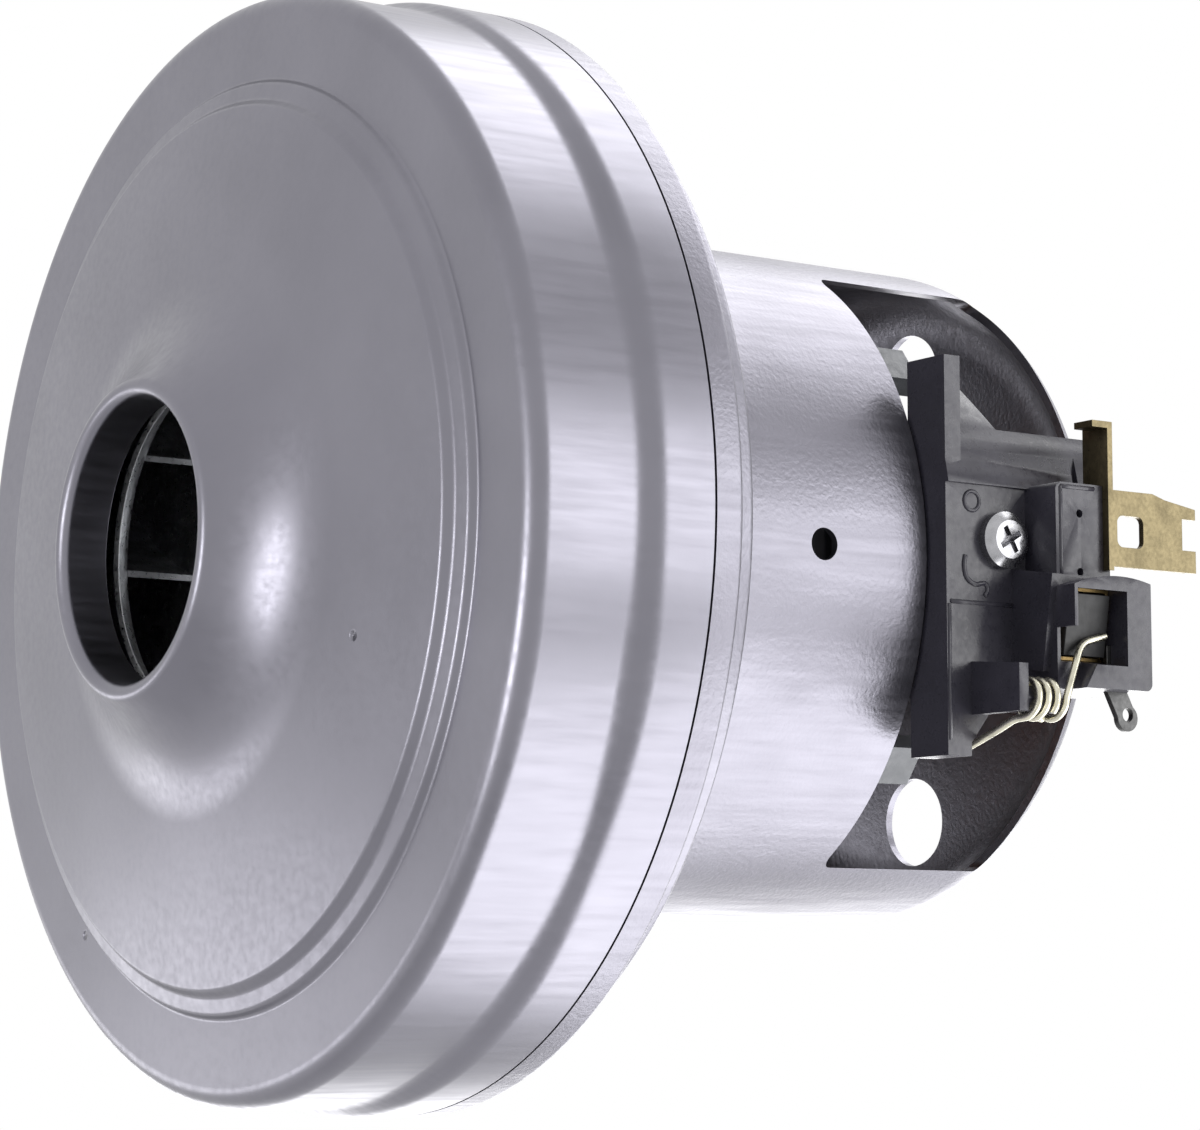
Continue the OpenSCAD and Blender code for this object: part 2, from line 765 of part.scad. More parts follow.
// Each blade is bent along a circle that leans back against the turning direction
module blade_shape() {
    intersection() {
        difference() {
            translate([blade_end_r / 2, -blade_lean])
                circle(r = blade_bend, $fn = round_fn);
            translate([blade_end_r / 2, -blade_lean])
                circle(r = blade_bend - blade_t, $fn = round_fn);
        }
        difference() {
            circle(r = blade_end_r, $fn = round_fn);
            circle(r = blade_in_r, $fn = round_fn);
        }
        translate([0, -2])
            square([impeller_r, impeller_r]);
    }
}
module impeller_blades() {
    color("silver")
        intersection() {
            for (i = [0:blade_count - 1])
                rotate([0, i * 360 / blade_count, 0])
                    plate_y(impeller_eye_y, -impeller_back - press_gap)
                        blade_shape();
            revolve([[eye_r + eye_bend[0], impeller_eye_y + eye_bend[1] + impeller_sheet * 1.3],
                [eye_r + eye_foot[0], impeller_eye_y + eye_foot[1] + impeller_sheet * 1.2],
                [impeller_r, impeller_tip_y + impeller_sheet + 2 * press_gap], [impeller_r, 0],
                [eye_r + eye_bend[0], 0]]);
        }
}
spacer_wall = 2.4;
module fan_spacer() {
    color("darkgray")
        tube(shaft_r + spacer_wall, shaft_r + press_gap, -impeller_back + impeller_sheet, front_bearing_y);
}
module fan_washer() {
    color("silver")
        tube(shaft_r * 2.2, shaft_r + press_gap, -impeller_back - washer_t, -impeller_back);
}
module fan_nut() {
    color("gold")
        difference() {
            translate([0, fan_stack_front, 0])
                rotate([-90, 0, 0])
                    cylinder(r = shaft_r * 1.85, h = nut_h, $fn = 6);
            disc(shaft_r + press_gap, fan_stack_front - 1, 0);
        }
}

// Brush line pieces, drawn along X at the brush's middle and then turned to the brush angle
module on_brush_line() {
    rotate([0, -brush_angle, 0])
        translate([0, brush_y, 0])
            children();
}
brush_contact = commutator_r + run_gap;
guide_start = commutator_r + 2;
guide_end = brush_end - 1;
guide_in = [brush_w / 2 + slide_gap, brush_t / 2 + slide_gap];
guide_out = guide_in + [guide_wall, guide_wall];
channel_in = guide_out + [press_gap, press_gap];
module carbon_brush() {
    on_brush_line()
        difference() {
            block([brush_contact, -brush_w / 2, -brush_t / 2], [brush_end, brush_w / 2, brush_t / 2]);
            rotate([-90, 0, 0])
                cylinder(r = brush_contact, h = brush_w + 2, center = true, $fn = round_fn);
        }
}
module carbon_brush_near() {
    color("#2b2b2b") carbon_brush();
}
module carbon_brush_far() {
    color("#2b2b2b") other_side() carbon_brush();
}

// A point of the brush line: distance from the motor axis, place along the motor, and rise off the line
function line_point(u, y, w) = [u * cos(brush_angle) - w * sin(brush_angle), y,
    u * sin(brush_angle) + w * cos(brush_angle)];

module brush_guide() {
    on_brush_line()
        difference() {
            block([guide_start, -guide_out[0], -guide_out[1]], [guide_end, guide_out[0], guide_out[1]]);
            block([guide_start - 1, -guide_in[0], -guide_in[1]], [guide_end + 1, guide_in[0], guide_in[1]]);
        }
}
module brush_guide_near() {
    color("goldenrod") brush_guide();
}
module brush_guide_far() {
    color("goldenrod") other_side() brush_guide();
}

// Brush carrier
plate_y0 = window_front + run_gap;
plate_y1 = plate_y0 + plate_t;
land_bottom = -6;
block_y = plate_y0 + 12.3;
block_rear = brush_y + 5.4;
block_bottom = -5.6;
block_edge = 0.8;
box_top = -2.8;
box_bottom = -16.2;
box_front = brush_y - channel_in[0] - 0.5;
box_rear = brush_y + 7.7;
box_edge = 0.9;
box_crown = 20;
box_inner_x = face_x - 3;
shoulder_top = 15.3;
shoulder_foot = block_top - 0.4;
ramp_foot = plate_y0 + 9;
ear_y = plate_y1 + 1.2;
ear_top = -22.4;
gusset_top = [box_front + 1, -13];
gusset_knee = [ramp_foot, -15.6];
channel_start = guide_start + 12;
hole_r = 0.5;
hole_depth = 1.5;
hole_rise = [-2, 5];
terminal_y = brush_y + 4.4;
terminal_seat = 6;
post_x = block_x + 1.4;
post_z = -17.6;
post_r = spring_r - spring_wire / 2 - seat_gap;
post_foot_t = 1.4;
// Swing of the spring's arm when its brush is pushed back all the way
arm_swing = brush_travel * 8.6;
fixed_turns = 2;
parting_turns = 0.125;
all_turns = 3.25;
coil_front = plate_y1 + 3.3;
coil_rear = coil_front + all_turns * spring_pitch;
post_y0 = coil_front - spring_wire / 2 - seat_gap - post_foot_t;
arm_u = brush_end + spring_wire / 2 + slide_gap;
arm_foot = [post_x + spring_r, coil_rear, post_z];
arm_knee = line_point(arm_u, brush_y - 1.2, -2.1);
arm_tip = line_point(arm_u, brush_y + 2.5, -1.1);
module carrier_body() {
    // Front plate with its upper and lower ear
    plate_y(plate_y0, plate_y1)
        intersection() {
            translate([tongue_x + seat_gap, plate_bottom])
                square([face_x - tongue_x - seat_gap, plate_top - plate_bottom]);
            circle(r = norm([face_x, plate_bottom]), $fn = round_fn);
        }
    // Screw land on the tongue
    block([tongue_x + press_gap, plate_y0, land_bottom], [face_x, block_y + 2, block_top]);
    // Curved shoulder above the land, with a ramp up to the upper ear
    intersection() {
        plate_x(tongue_x + seat_gap, shoulder_r)
            polygon([[plate_y0, shoulder_foot], [box_rear, shoulder_foot], [box_rear, shoulder_top],
                [ramp_foot, shoulder_top], [plate_y1, plate_top], [plate_y0, plate_top]]);
        disc(shoulder_r, plate_y0, box_rear);
    }
    // Flat lower cheek with its ramp down to the lower ear
    plate_x(tongue_x + seat_gap, face_x)
        polygon([[plate_y0, 0], [gusset_top[0], 0], gusset_top, gusset_knee, [ear_y, ear_top],
            [ear_y, plate_bottom], [plate_y0, plate_bottom]]);
    // Raised terminal block
    plate_x(tongue_x + 3, block_x)
        rounded_rect([block_y, block_bottom], [block_rear, block_top], block_edge);
    // Brush box with a crowned top
    plate_x(box_inner_x, box_x)
        intersection() {
            rounded_rect([box_front, box_bottom], [box_rear, box_top], box_edge);
            translate([(box_front + box_rear) / 2 + 1, box_top - box_crown])
                circle(r = box_crown, $fn = round_fn);
        }
    // Channel round the brush guide
    on_brush_line()
        block([channel_start, -channel_in[0] - carrier_wall, -channel_in[1] - carrier_wall],
            [guide_end, channel_in[0] + carrier_wall, channel_in[1] + carrier_wall]);
    // Post that carries the spring
    translate([post_x, post_y0, post_z])
        rotate([-90, 0, 0])
            cylinder(r = post_r, h = coil_rear + spring_wire - post_y0, $fn = small_fn);
    plate_y(post_y0, post_y0 + post_foot_t)
        polygon([[box_inner_x, post_z - post_r], [post_x + post_r, post_z - post_r], [post_x + post_r, post_z + 4],
            [box_inner_x, post_z + 5]]);
}

// Place and height of a point of the arm after it has swung about the post
function swung(p, a) = [p[1], post_z + (p[2] - post_z) * cos(a) - (p[0] - post_x) * sin(a)];

// Way for the spring's arm, past the brush box's lower front corner, from rest to the end of its swing
module arm_way() {
    reach = spring_wire / 2 + run_gap;
    knee = swung(arm_knee, arm_swing);
    foot = swung(arm_foot, arm_swing);
    slope = unit(knee - foot);
    aside = reach * [slope[1], -slope[0]];
    way_top = arm_tip[2] + reach;
    plate_x(arm_tip[0] - reach, box_x + 1)
        polygon([[box_front - 2, foot[1]], foot + aside, knee + aside, [knee[0] + aside[0], way_top],
            [box_front - 2, way_top]]);
}
module brush_carrier() {
    difference() {
        carrier_body();
        // Seat of the brush guide, open at its outer end
        on_brush_line()
            block([guide_start, -channel_in[0], -channel_in[1]], [1.5 * box_x, channel_in[0], channel_in[1]]);
        arm_way();
        // Seat of the housing's tongue
        block([tongue_x - housing_sheet - press_gap, plate_y0 - 1, screw_z - tongue_half - press_gap],
            [tongue_x + press_gap, tongue_end + press_gap, screw_z + tongue_half + press_gap]);
        // Hole of the carrier screw
        translate([tongue_x - 1, screw_y, screw_z])
            rotate([0, 90, 0])
                cylinder(r = screw_r + slide_gap, h = face_x - tongue_x + 2, $fn = small_fn);
        // Slot of the terminal
        block([block_x - terminal_seat, terminal_y - press_gap, terminal_bottom - press_gap],
            [terminal_x + 1, terminal_y + terminal_t + press_gap, terminal_top + 1]);
        // Two small moulding holes in the terminal block
        for (z = hole_rise)
            translate([block_x - hole_depth, (block_y + terminal_y) / 2, z])
                rotate([0, 90, 0])
                    cylinder(r = hole_r, h = hole_depth + 1, $fn = small_fn);
        // Slot of the solder tag
        block([solder_x - press_gap, solder_y - press_gap, box_bottom - 1],
            [solder_x + terminal_t + press_gap, solder_y + solder_w + press_gap, solder_top + press_gap]);
    }
}
module brush_carrier_near() {
    color("#26262a") brush_carrier();
}
module brush_carrier_far() {
    color("#26262a") other_side() brush_carrier();
}

// Terminals
tab_bottom = -1.1;
tab_fall = [5, 0.6];
tab_drop = [7, 1.4];
tab_hole = [4.2, 3.8];
tab_hole_start = 1.4;
tab_hole_round = 0.9;
tab_notch = [2.2, 3.8];
tab_end = terminal_y + terminal_t + tab_len;
terminal_x = block_x + 1;
terminal_bottom = tab_bottom - 0.5;
terminal_top = 16.3;
terminal_in = 4.4;
hook_len = 2.4;
hook_w = 3.2;
module terminal() {
    // Upright strip held in the carrier
    block([terminal_x - terminal_in, terminal_y, terminal_bottom],
        [terminal_x, terminal_y + terminal_t, terminal_top]);
    // Folded hook at its top
    block([terminal_x - hook_w, terminal_y - hook_len, terminal_top - terminal_t],
        [terminal_x, terminal_y + terminal_t, terminal_top]);
    // Tab that takes the supply lead
    plate_x(terminal_x - terminal_t, terminal_x)
        difference() {
            translate([0, tab_bottom])
                polygon([[terminal_y, 0], [tab_end, 0], [tab_end, tab_h - tab_drop[1]],
                    [tab_end - tab_fall[0], tab_h - tab_fall[1]], [tab_end - tab_drop[0], tab_h],
                    [terminal_y, tab_h]]);
            translate([terminal_y + tab_hole_start, tab_bottom + (tab_h - tab_hole[1]) / 2 - 0.3])
                rounded_rect([0, 0], tab_hole, tab_hole_round);
            translate([tab_end - tab_notch[0], tab_bottom + (tab_h - tab_notch[1]) / 2])
                square(tab_notch + [1, 0]);
        }
}
module terminal_near() {
    color("darkkhaki") terminal();
}
module terminal_far() {
    color("darkkhaki") other_side() terminal();
}

// Solder tags under the brush boxes
solder_x = guide_end * cos(brush_angle) - press_gap;
solder_y = box_rear - 4.4;
solder_w = 3.2;
solder_seat = 5.5;
solder_lean = 1.6;
solder_drop = 3;
solder_eye_r = 0.8;
solder_top = box_bottom + solder_seat;
module solder_tag() {
    eye = [solder_y + solder_lean + solder_w / 2, box_bottom - solder_drop];
    plate_x(solder_x, solder_x + terminal_t)
        difference() {
            union() {
                translate([solder_y, box_bottom])
                    square([solder_w, solder_seat]);
                polygon([[solder_y, box_bottom + press_gap], [solder_y, box_bottom], eye - [solder_w / 2, 0],
                    eye + [solder_w / 2, 0], [solder_y + solder_w, box_bottom],
                    [solder_y + solder_w, box_bottom + press_gap]]);
                translate(eye)
                    circle(r = solder_w / 2, $fn = small_fn);
            }
            translate(eye + [0, solder_eye_r / 2])
                circle(r = solder_eye_r, $fn = small_fn);
        }
}
module solder_tag_near() {
    color("#3c3c3c") solder_tag();
}
module solder_tag_far() {
    color("#3c3c3c") other_side() solder_tag();
}

// Pan head screws with a cross recess
screw_head_h = 1.9;
screw_dome = [1.1, 0.8];
screw_tip = 2.5;
cross_turn = 30;
cross_half = 1.7;
cross_w = 0.7;
cross_depth = 1.4;
module carrier_screw() {
    difference() {
        union() {
            translate([tongue_x - screw_tip, screw_y, screw_z])
                rotate([0, 90, 0])
                    cylinder(r = screw_r, h = face_x - tongue_x + screw_tip + screw_head_h / 2, $fn = small_fn);
            translate([face_x, screw_y, screw_z])
                rotate([0, 90, 0]) {
                    cylinder(r = screw_head_r, h = screw_head_h - screw_dome[1], $fn = small_fn);
                    translate([0, 0, screw_head_h - screw_dome[1]])
                        cylinder(r1 = screw_head_r, r2 = screw_head_r - screw_dome[0], h = screw_dome[1],
                            $fn = small_fn);
                }
        }
        for (a = [cross_turn, cross_turn + 90])
            translate([face_x + screw_head_h - cross_depth, screw_y, screw_z])
                rotate([a, 0, 0])
                    translate([0, -cross_half, -cross_w / 2])
                        cube([cross_depth + 1, 2 * cross_half, cross_w]);
    }
}
module carrier_screws() {
    color("white") {
        carrier_screw();
        other_side() carrier_screw();
    }
}

// Springs, one wire each, parted where the arm leaves the coil so that the arm can swing
wire_sides = 6;
curl_rings = 8;
bend_rings = 4;
function coil_point(turn) = [post_x + spring_r * sin(turn * 360), coil_front + turn * spring_pitch,
    post_z - spring_r * cos(turn * 360)];
function curls(from_turn, to_turn) =
    [for (i = [round(from_turn * curl_rings):round(to_turn * curl_rings)]) coil_point(i / curl_rings)];
function bend(a, k, b) = [for (i = [0:bend_rings]) let (t = i / bend_rings)
    (1 - t) * (1 - t) * a + 2 * t * (1 - t) * k + t * t * b];
fixed_leg = [[face_x - 1.7, plate_y1 + 2.2, plate_bottom + 1.2],
    [post_x - 4, coil_front - 0.5, post_z - spring_r - 1.2], [post_x - 1.6, coil_front - 0.2, post_z - spring_r - 0.2]];
coil_points = concat(fixed_leg, curls(0, fixed_turns));
arm_points = concat(curls(fixed_turns + parting_turns, all_turns),
    bend(arm_knee + 1.2 * unit(arm_foot - arm_knee), arm_knee, arm_knee + 1.2 * unit(arm_tip - arm_knee)), [arm_tip]);

function way(p, i) = let (last = len(p) - 1)
    unit(i == 0 ? p[1] - p[0] : i == last ? p[last] - p[last - 1] : unit(p[i + 1] - p[i]) + unit(p[i] - p[i - 1]));
// Sideways direction of each ring, carried along the wire without twist
function sides(p) = [for (i = 0, a = unit(cross(way(p, 0), [0, 1, 0.1])); i < len(p); i = i + 1,
    a = i < len(p) ? unit(a - (a * way(p, i)) * way(p, i)) : a) a];
module wire(p, r) {
    side = sides(p);
    points = [for (i = [0:len(p) - 1], k = [0:wire_sides - 1])
        let (t = k * 360 / wire_sides) p[i] + r * (side[i] * cos(t) + cross(way(p, i), side[i]) * sin(t))];
    faces = concat(
        [[for (k = [0:wire_sides - 1]) k]],
        [for (i = [0:len(p) - 2], k = [0:wire_sides - 1], half = [0, 1])
            let (q = i * wire_sides, n = (k + 1) % wire_sides)
            half == 0 ? [q + k, q + wire_sides + k, q + wire_sides + n] : [q + k, q + wire_sides + n, q + n]],
        [[for (k = [wire_sides - 1:-1:0]) (len(p) - 1) * wire_sides + k]]);
    polyhedron(points, faces, convexity = 6);
}

// Least gap of a wire to itself, between points more than half a curl apart
function least_gap(p, r) = min([for (i = [0:len(p) - 1], j = [0:len(p) - 1])
    if (j - i > curl_rings / 2) norm(p[i] - p[j]) - 2 * r]);
echo(least_gap_of_spring_coil_mm = least_gap(coil_points, spring_wire / 2));
echo(least_gap_of_spring_arm_mm = least_gap(arm_points, spring_wire / 2));

module spring_coil() {
    wire(coil_points, spring_wire / 2);
}
module spring_arm() {
    wire(arm_points, spring_wire / 2);
}
module brush_spring_coil_near() {
    color("khaki") spring_coil();
}
module brush_spring_coil_far() {
    color("khaki") other_side() spring_coil();
}
module brush_spring_arm_near() {
    color("khaki") spring_arm();
}
module brush_spring_arm_far() {
    color("khaki") other_side() spring_arm();
}

fan_cover();
motor_housing();
bearing_bracket();
bracket_screws();
diffuser();
stator_core();
field_coil_top();
field_coil_bottom();
coil_former_top();
coil_former_bottom();
front_bearing_outer();
rear_bearing_outer();
front_bearing_balls();
rear_bearing_balls();
front_bearing_inner();
rear_bearing_inner();
shaft();
armature_core();
armature_winding();
commutator_hub();
commutator_bars();
impeller_front_disc();
impeller_back_disc();
impeller_blades();
fan_spacer();
fan_washer();
fan_nut();
brush_carrier_near();
brush_carrier_far();
brush_guide_near();
brush_guide_far();
carbon_brush_near();
carbon_brush_far();
terminal_near();
terminal_far();
solder_tag_near();
solder_tag_far();
carrier_screws();
brush_spring_coil_near();
brush_spring_coil_far();
brush_spring_arm_near();
brush_spring_arm_far();
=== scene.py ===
"""Vacuum motor unit: its looks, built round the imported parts.

The motor axis is Y, the air inlet faces -Y and the brushes stand on the X sides. Lengths are in metres.
"""

import json
import math

import bmesh
import bpy
from mathutils import Matrix, Vector

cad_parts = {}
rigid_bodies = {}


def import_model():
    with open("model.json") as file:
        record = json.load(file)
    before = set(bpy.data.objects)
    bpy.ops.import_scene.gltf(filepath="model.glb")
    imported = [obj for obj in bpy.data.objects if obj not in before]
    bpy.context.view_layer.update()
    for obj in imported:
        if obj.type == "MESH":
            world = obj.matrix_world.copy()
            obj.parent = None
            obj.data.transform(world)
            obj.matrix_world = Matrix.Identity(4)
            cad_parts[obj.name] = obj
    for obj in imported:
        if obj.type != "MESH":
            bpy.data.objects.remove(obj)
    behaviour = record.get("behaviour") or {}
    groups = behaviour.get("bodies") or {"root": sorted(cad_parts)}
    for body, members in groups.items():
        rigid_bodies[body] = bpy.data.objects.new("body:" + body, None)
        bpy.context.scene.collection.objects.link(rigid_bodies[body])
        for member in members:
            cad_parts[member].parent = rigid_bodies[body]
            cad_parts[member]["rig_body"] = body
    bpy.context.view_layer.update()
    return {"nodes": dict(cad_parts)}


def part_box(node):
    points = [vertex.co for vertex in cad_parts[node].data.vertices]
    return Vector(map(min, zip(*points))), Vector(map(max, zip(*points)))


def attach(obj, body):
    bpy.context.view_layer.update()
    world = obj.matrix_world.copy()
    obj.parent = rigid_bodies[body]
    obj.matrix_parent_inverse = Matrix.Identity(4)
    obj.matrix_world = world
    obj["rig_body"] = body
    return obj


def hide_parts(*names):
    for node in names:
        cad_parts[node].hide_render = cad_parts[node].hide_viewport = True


MM = 0.001

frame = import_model()
nodes = frame["nodes"]

# Camera, level with the lower half of the motor and turned towards the brush side
CAMERA_PLACE = Vector((363.8, -221.2, -51.6)) * MM
CAMERA_AZIMUTH = 55.3
CAMERA_ELEVATION = -6.85
CAMERA_LENS = 107.0
SENSOR_WIDTH = 36.0
CLIP_START = 0.01
CLIP_END = 50

QUARTER = math.pi / 2
SIDES = (("near", 0.0), ("far", math.pi))

# How finely round shapes are drawn, and how close two points count as one
TURN_STEPS = 240
CORNER_STEPS = 14
TRUMPET_STEPS = 24
CUP_CORNER_STEPS = 20
PAN_CORNER_STEPS = 8
SAME_POINT = 0.002 * MM
WELD = 0.005 * MM
CUT_WELD = 0.02 * MM
FLAT_ANGLE = math.radians(0.6)

# Sizes that both drawn shells share, read from the frame where it shows them
SEAT_GAP = 0.03 * MM
RIM_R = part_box("fan_cover")[1].x
COVER_SHEET = 0.8 * MM
HOUSING_SHEET = 1.0 * MM

# Fan cover: the side, the stepped ring, the cone and the inlet
COVER_FRONT = -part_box("fan_cover")[0].y
COVER_DEPTH = 22.5 * MM
SIDE_STEP = 1.2 * MM
SEAT_BAND = 8 * MM
COVER_CORNER = 2.5 * MM
COVER_GAP = 0.2 * MM
COVER_EASE = 0.9 * MM
RING_EASE = 0.35 * MM
RING_R = 54.6 * MM
RING_FOOT = 0.5 * MM
RING_RISE = 0.9 * MM
BAND_IN = 52.1 * MM
BAND_RISE = 0.4 * MM
CONE_R = 51.3 * MM
CONE_RISE = 2.4 * MM
INLET_R = 16.5 * MM
INLET_DEPTH = 6 * MM
LIP_ROUND = 1.2 * MM
LIP_ANGLE = math.radians(55)
CONE_ANGLE = math.radians(6)

# Motor housing: the lip behind the rim, the pan, the cup and the rear boss
LIP_LEN = 3.6 * MM
PAN_R = 62.5 * MM
PAN_DEPTH = 7.6 * MM
PAN_CORNER = 3 * MM
PAN_FLARE = 0.4 * MM
PAN_STEP = 0.1 * MM
PAN_EASE = 0.7 * MM
CUP_R = 42.3 * MM
CUP_END = 79.4 * MM
CUP_CORNER = 8.8 * MM
SPIGOT_LEN = 5 * MM
BOSS_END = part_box("motor_housing")[1].y
BOSS_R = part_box("rear_bearing_outer")[1].x + SEAT_GAP + HOUSING_SHEET
BOSS_FLARE = 1.4 * MM
BOSS_STEP = 1.2 * MM
BOSS_EASE = 1.0 * MM
BOSS_CENTRE_R = 2 * MM

# Openings of the housing: brush windows, vents, side holes and the holes of the bracket screws
WINDOW_FRONT = 48.3 * MM
WINDOW_REAR = 74.5 * MM
WINDOW_HALF = 36.4 * MM
WINDOW_CORNER = 1.4 * MM
WINDOW_RING = 0.6 * MM
WINDOW_CUT_IN = CUP_R / 4
VENT_R = 5.7 * MM
VENT_REACH = 29.4 * MM
VENT_SIDE = 3.2 * MM
STAKE_R = 1.9 * MM
STAKE_Y = 33 * MM
STAKE_RING = 3 * MM
STAKE_CUT_IN = 0.8 * CUP_R
STAKE_CUT_LEN = 0.4 * CUP_R
BRACKET_HOLE_R = 1.93 * MM
BRACKET_HOLE_SEGMENTS = 24
BRACKET_HOLE_ANGLES = (45, 135, 225, 315)
CUT_BEFORE = 3 * MM
CUT_PAST = 2 * MM

# Brush carriers: their outer face, their block and the housing's tongue under each
FACE_X = 45.5 * MM
BLOCK_X = 51 * MM
TONGUE_X = FACE_X - 7 * MM
TONGUE_HALF = 2.8 * MM
TONGUE_CORNER = 0.8 * MM
TONGUE_ROOT = WINDOW_FRONT - 3 * MM
TONGUE_END = 58.7 * MM
SCREW_Z = 1.75 * MM

# Rounding of the sharp edges
EDGE_SEGMENTS = 2
COVER_EDGE = 0.12 * MM
HOUSING_EDGE = 0.14 * MM
TONGUE_EDGE = 0.1 * MM
WIRE_EDGE = 0.1 * MM
WIRE_EDGE_ANGLE = 60
SHARP_ANGLE = 35


def unit(v):
    """The direction of a vector."""
    return v.normalized()


def left_of(v):
    """The direction a quarter turn to the left of a plane direction."""
    return Vector((-v.y, v.x))


def arc(centre, radius, start, end, steps):
    """Points on an arc in the plane of radius and axial place, angles in radians."""
    points = []
    for i in range(steps + 1):
        a = start + (end - start) * i / steps
        points.append(Vector((centre[0] + radius * math.cos(a), centre[1] + radius * math.sin(a))))
    return points


def eased(points, reach, steps=6):
    """A path with its inner corners turned into smooth bends that begin at most reach before them."""
    most = 0.45
    path = [points[0]]
    for before, corner, after in zip(points, points[1:], points[2:]):
        start = corner + unit(before - corner) * min(reach, (before - corner).length * most)
        end = corner + unit(after - corner) * min(reach, (after - corner).length * most)
        for i in range(steps + 1):
            t = i / steps
            path.append((1 - t) ** 2 * start + 2 * t * (1 - t) * corner + t * t * end)
    return path + [points[-1]]


def strip(path, thickness):
    """Closed outline of a sheet that follows a path, with its thickness on the path's left."""
    path = [p for i, p in enumerate(path) if not i or (p - path[i - 1]).length > SAME_POINT]
    inner = []
    for i, p in enumerate(path):
        before = unit(path[i] - path[i - 1]) if i else unit(path[1] - path[0])
        after = unit(path[i + 1] - path[i]) if i < len(path) - 1 else before
        mitre = left_of(unit(before + after))
        inner.append(p + mitre * (thickness / mitre.dot(left_of(after))))
    return list(path) + inner[::-1]


def smooth_mesh(mesh, bm):
    """Writes a bmesh into a mesh, frees it and shades the mesh smooth."""
    bm.to_mesh(mesh)
    bm.free()
    for face in mesh.polygons:
        face.use_smooth = True


def shown(name, mesh):
    """An object of a mesh at the origin, in the scene."""
    piece = bpy.data.objects.new(name, mesh)
    bpy.context.scene.collection.objects.link(piece)
    return piece


def new_object(name, bm):
    """A finished piece from a bmesh, smooth shaded, at the origin."""
    bmesh.ops.recalc_face_normals(bm, faces=bm.faces)
    mesh = bpy.data.meshes.new(name)
    smooth_mesh(mesh, bm)
    return shown(name, mesh)


def spun(outline):
    """A bmesh of an outline of (radius, place) turned once round the motor axis."""
    bm = bmesh.new()
    ring = [bm.verts.new((p[0], p[1], 0)) for p in outline]
    edges = [bm.edges.new((ring[i], ring[(i + 1) % len(ring)])) for i in range(len(ring))]
    bmesh.ops.spin(bm, geom=ring + edges, cent=(0, 0, 0), axis=(0, 1, 0), angle=2 * math.pi,
                   steps=TURN_STEPS, use_merge=True)
    bmesh.ops.remove_doubles(bm, verts=bm.verts, dist=WELD)
    return bm


def prism(bm, outline, low, high, axis):
    """Adds a flat outline, thick from low to high along the X or Y axis, to a bmesh."""
    def at(p, h):
        return (h, p[0], p[1]) if axis == "x" else (p[0], h, p[1])

    base = bm.faces.new([bm.verts.new(at(p, low)) for p in outline])
    made = bmesh.ops.extrude_face_region(bm, geom=[base])
    moved = [v for v in made["geom"] if isinstance(v, bmesh.types.BMVert)]
    bmesh.ops.translate(bm, verts=moved, vec=Vector(at((0, 0), high - low)))


def rounded_outline(low, high, radius, steps=6):
    """Outline of a rectangle with round corners, anticlockwise from its lower right corner."""
    left, right = low[0] + radius, high[0] - radius
    bottom, top = low[1] + radius, high[1] - radius
    centres = ((right, bottom), (right, top), (left, top), (left, bottom))
    points = []
    for i, centre in enumerate(centres):
        points += arc(centre, radius, (i - 1) * QUARTER, i * QUARTER, steps)
    return points


def round_bar(bm, start, direction, radius, length, segments=48):
    """Adds a closed cylinder that starts at a place and runs along a direction."""
    turn = Vector(direction).to_track_quat("Z", "Y").to_matrix().to_4x4()
    middle = Vector(start) + Vector(direction) * (length / 2)
    bmesh.ops.create_cone(bm, cap_ends=True, segments=segments, radius1=radius, radius2=radius,
                          depth=length, matrix=Matrix.Translation(middle) @ turn)


def merge(bm, part):
    """Adds one bmesh to another and frees it."""
    mesh = bpy.data.meshes.new("part")
    part.to_mesh(mesh)
    part.free()
    bm.from_mesh(mesh)
    bpy.data.meshes.remove(mesh)


def turn_about_axis(bm, turn):
    """Turns a bmesh round the motor axis."""
    bmesh.ops.rotate(bm, verts=bm.verts, cent=(0, 0, 0), matrix=Matrix.Rotation(turn, 3, "Y"))


def carve(piece, cutter_bm):
    """Cuts a bmesh away from a piece and keeps the result as the piece's mesh."""
    cutter = new_object("cutter", cutter_bm)
    cut = piece.modifiers.new("cut", "BOOLEAN")
    cut.operation = "DIFFERENCE"
    cut.solver = "EXACT"
    cut.use_self = True
    cut.object = cutter
    graph = bpy.context.evaluated_depsgraph_get()
    mesh = bpy.data.meshes.new_from_object(piece.evaluated_get(graph))
    piece.modifiers.clear()
    piece.data = mesh
    bpy.data.objects.remove(cutter)
    return piece


def soften(piece, width, angle=SHARP_ANGLE, clamp=False):
    """Rounds a piece's sharp edges a little, as tools and handling do."""
    bevel = piece.modifiers.new("edges", "BEVEL")
    bevel.width = width
    bevel.segments = EDGE_SEGMENTS
    bevel.limit_method = "ANGLE"
    bevel.angle_limit = math.radians(angle)
    bevel.use_clamp_overlap = clamp
    bevel.harden_normals = True
    piece.data.set_sharp_from_angle(angle=bevel.angle_limit)
    return piece


def dressed(node, name, width):
    """A copy of a node's mesh with flat faces joined and edges softened."""
    bm = bmesh.new()
    bm.from_mesh(nodes[node].data)
    bmesh.ops.remove_doubles(bm, verts=bm.verts, dist=SAME_POINT)
    bmesh.ops.join_triangles(bm, faces=bm.faces, angle_face_threshold=FLAT_ANGLE,
                             angle_shape_threshold=math.pi)
    mesh = bpy.data.meshes.new(name)
    smooth_mesh(mesh, bm)
    return soften(shown(name, mesh), width, clamp=True)


def place(piece, material, body, slot, *replaced):
    """Gives a piece its finish and its body, and hides the nodes that it stands for; its slot is not used."""
    piece.data.materials.clear()
    piece.data.materials.append(material)
    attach(piece, body)
    if replaced:
        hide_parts(*replaced)


# Materials

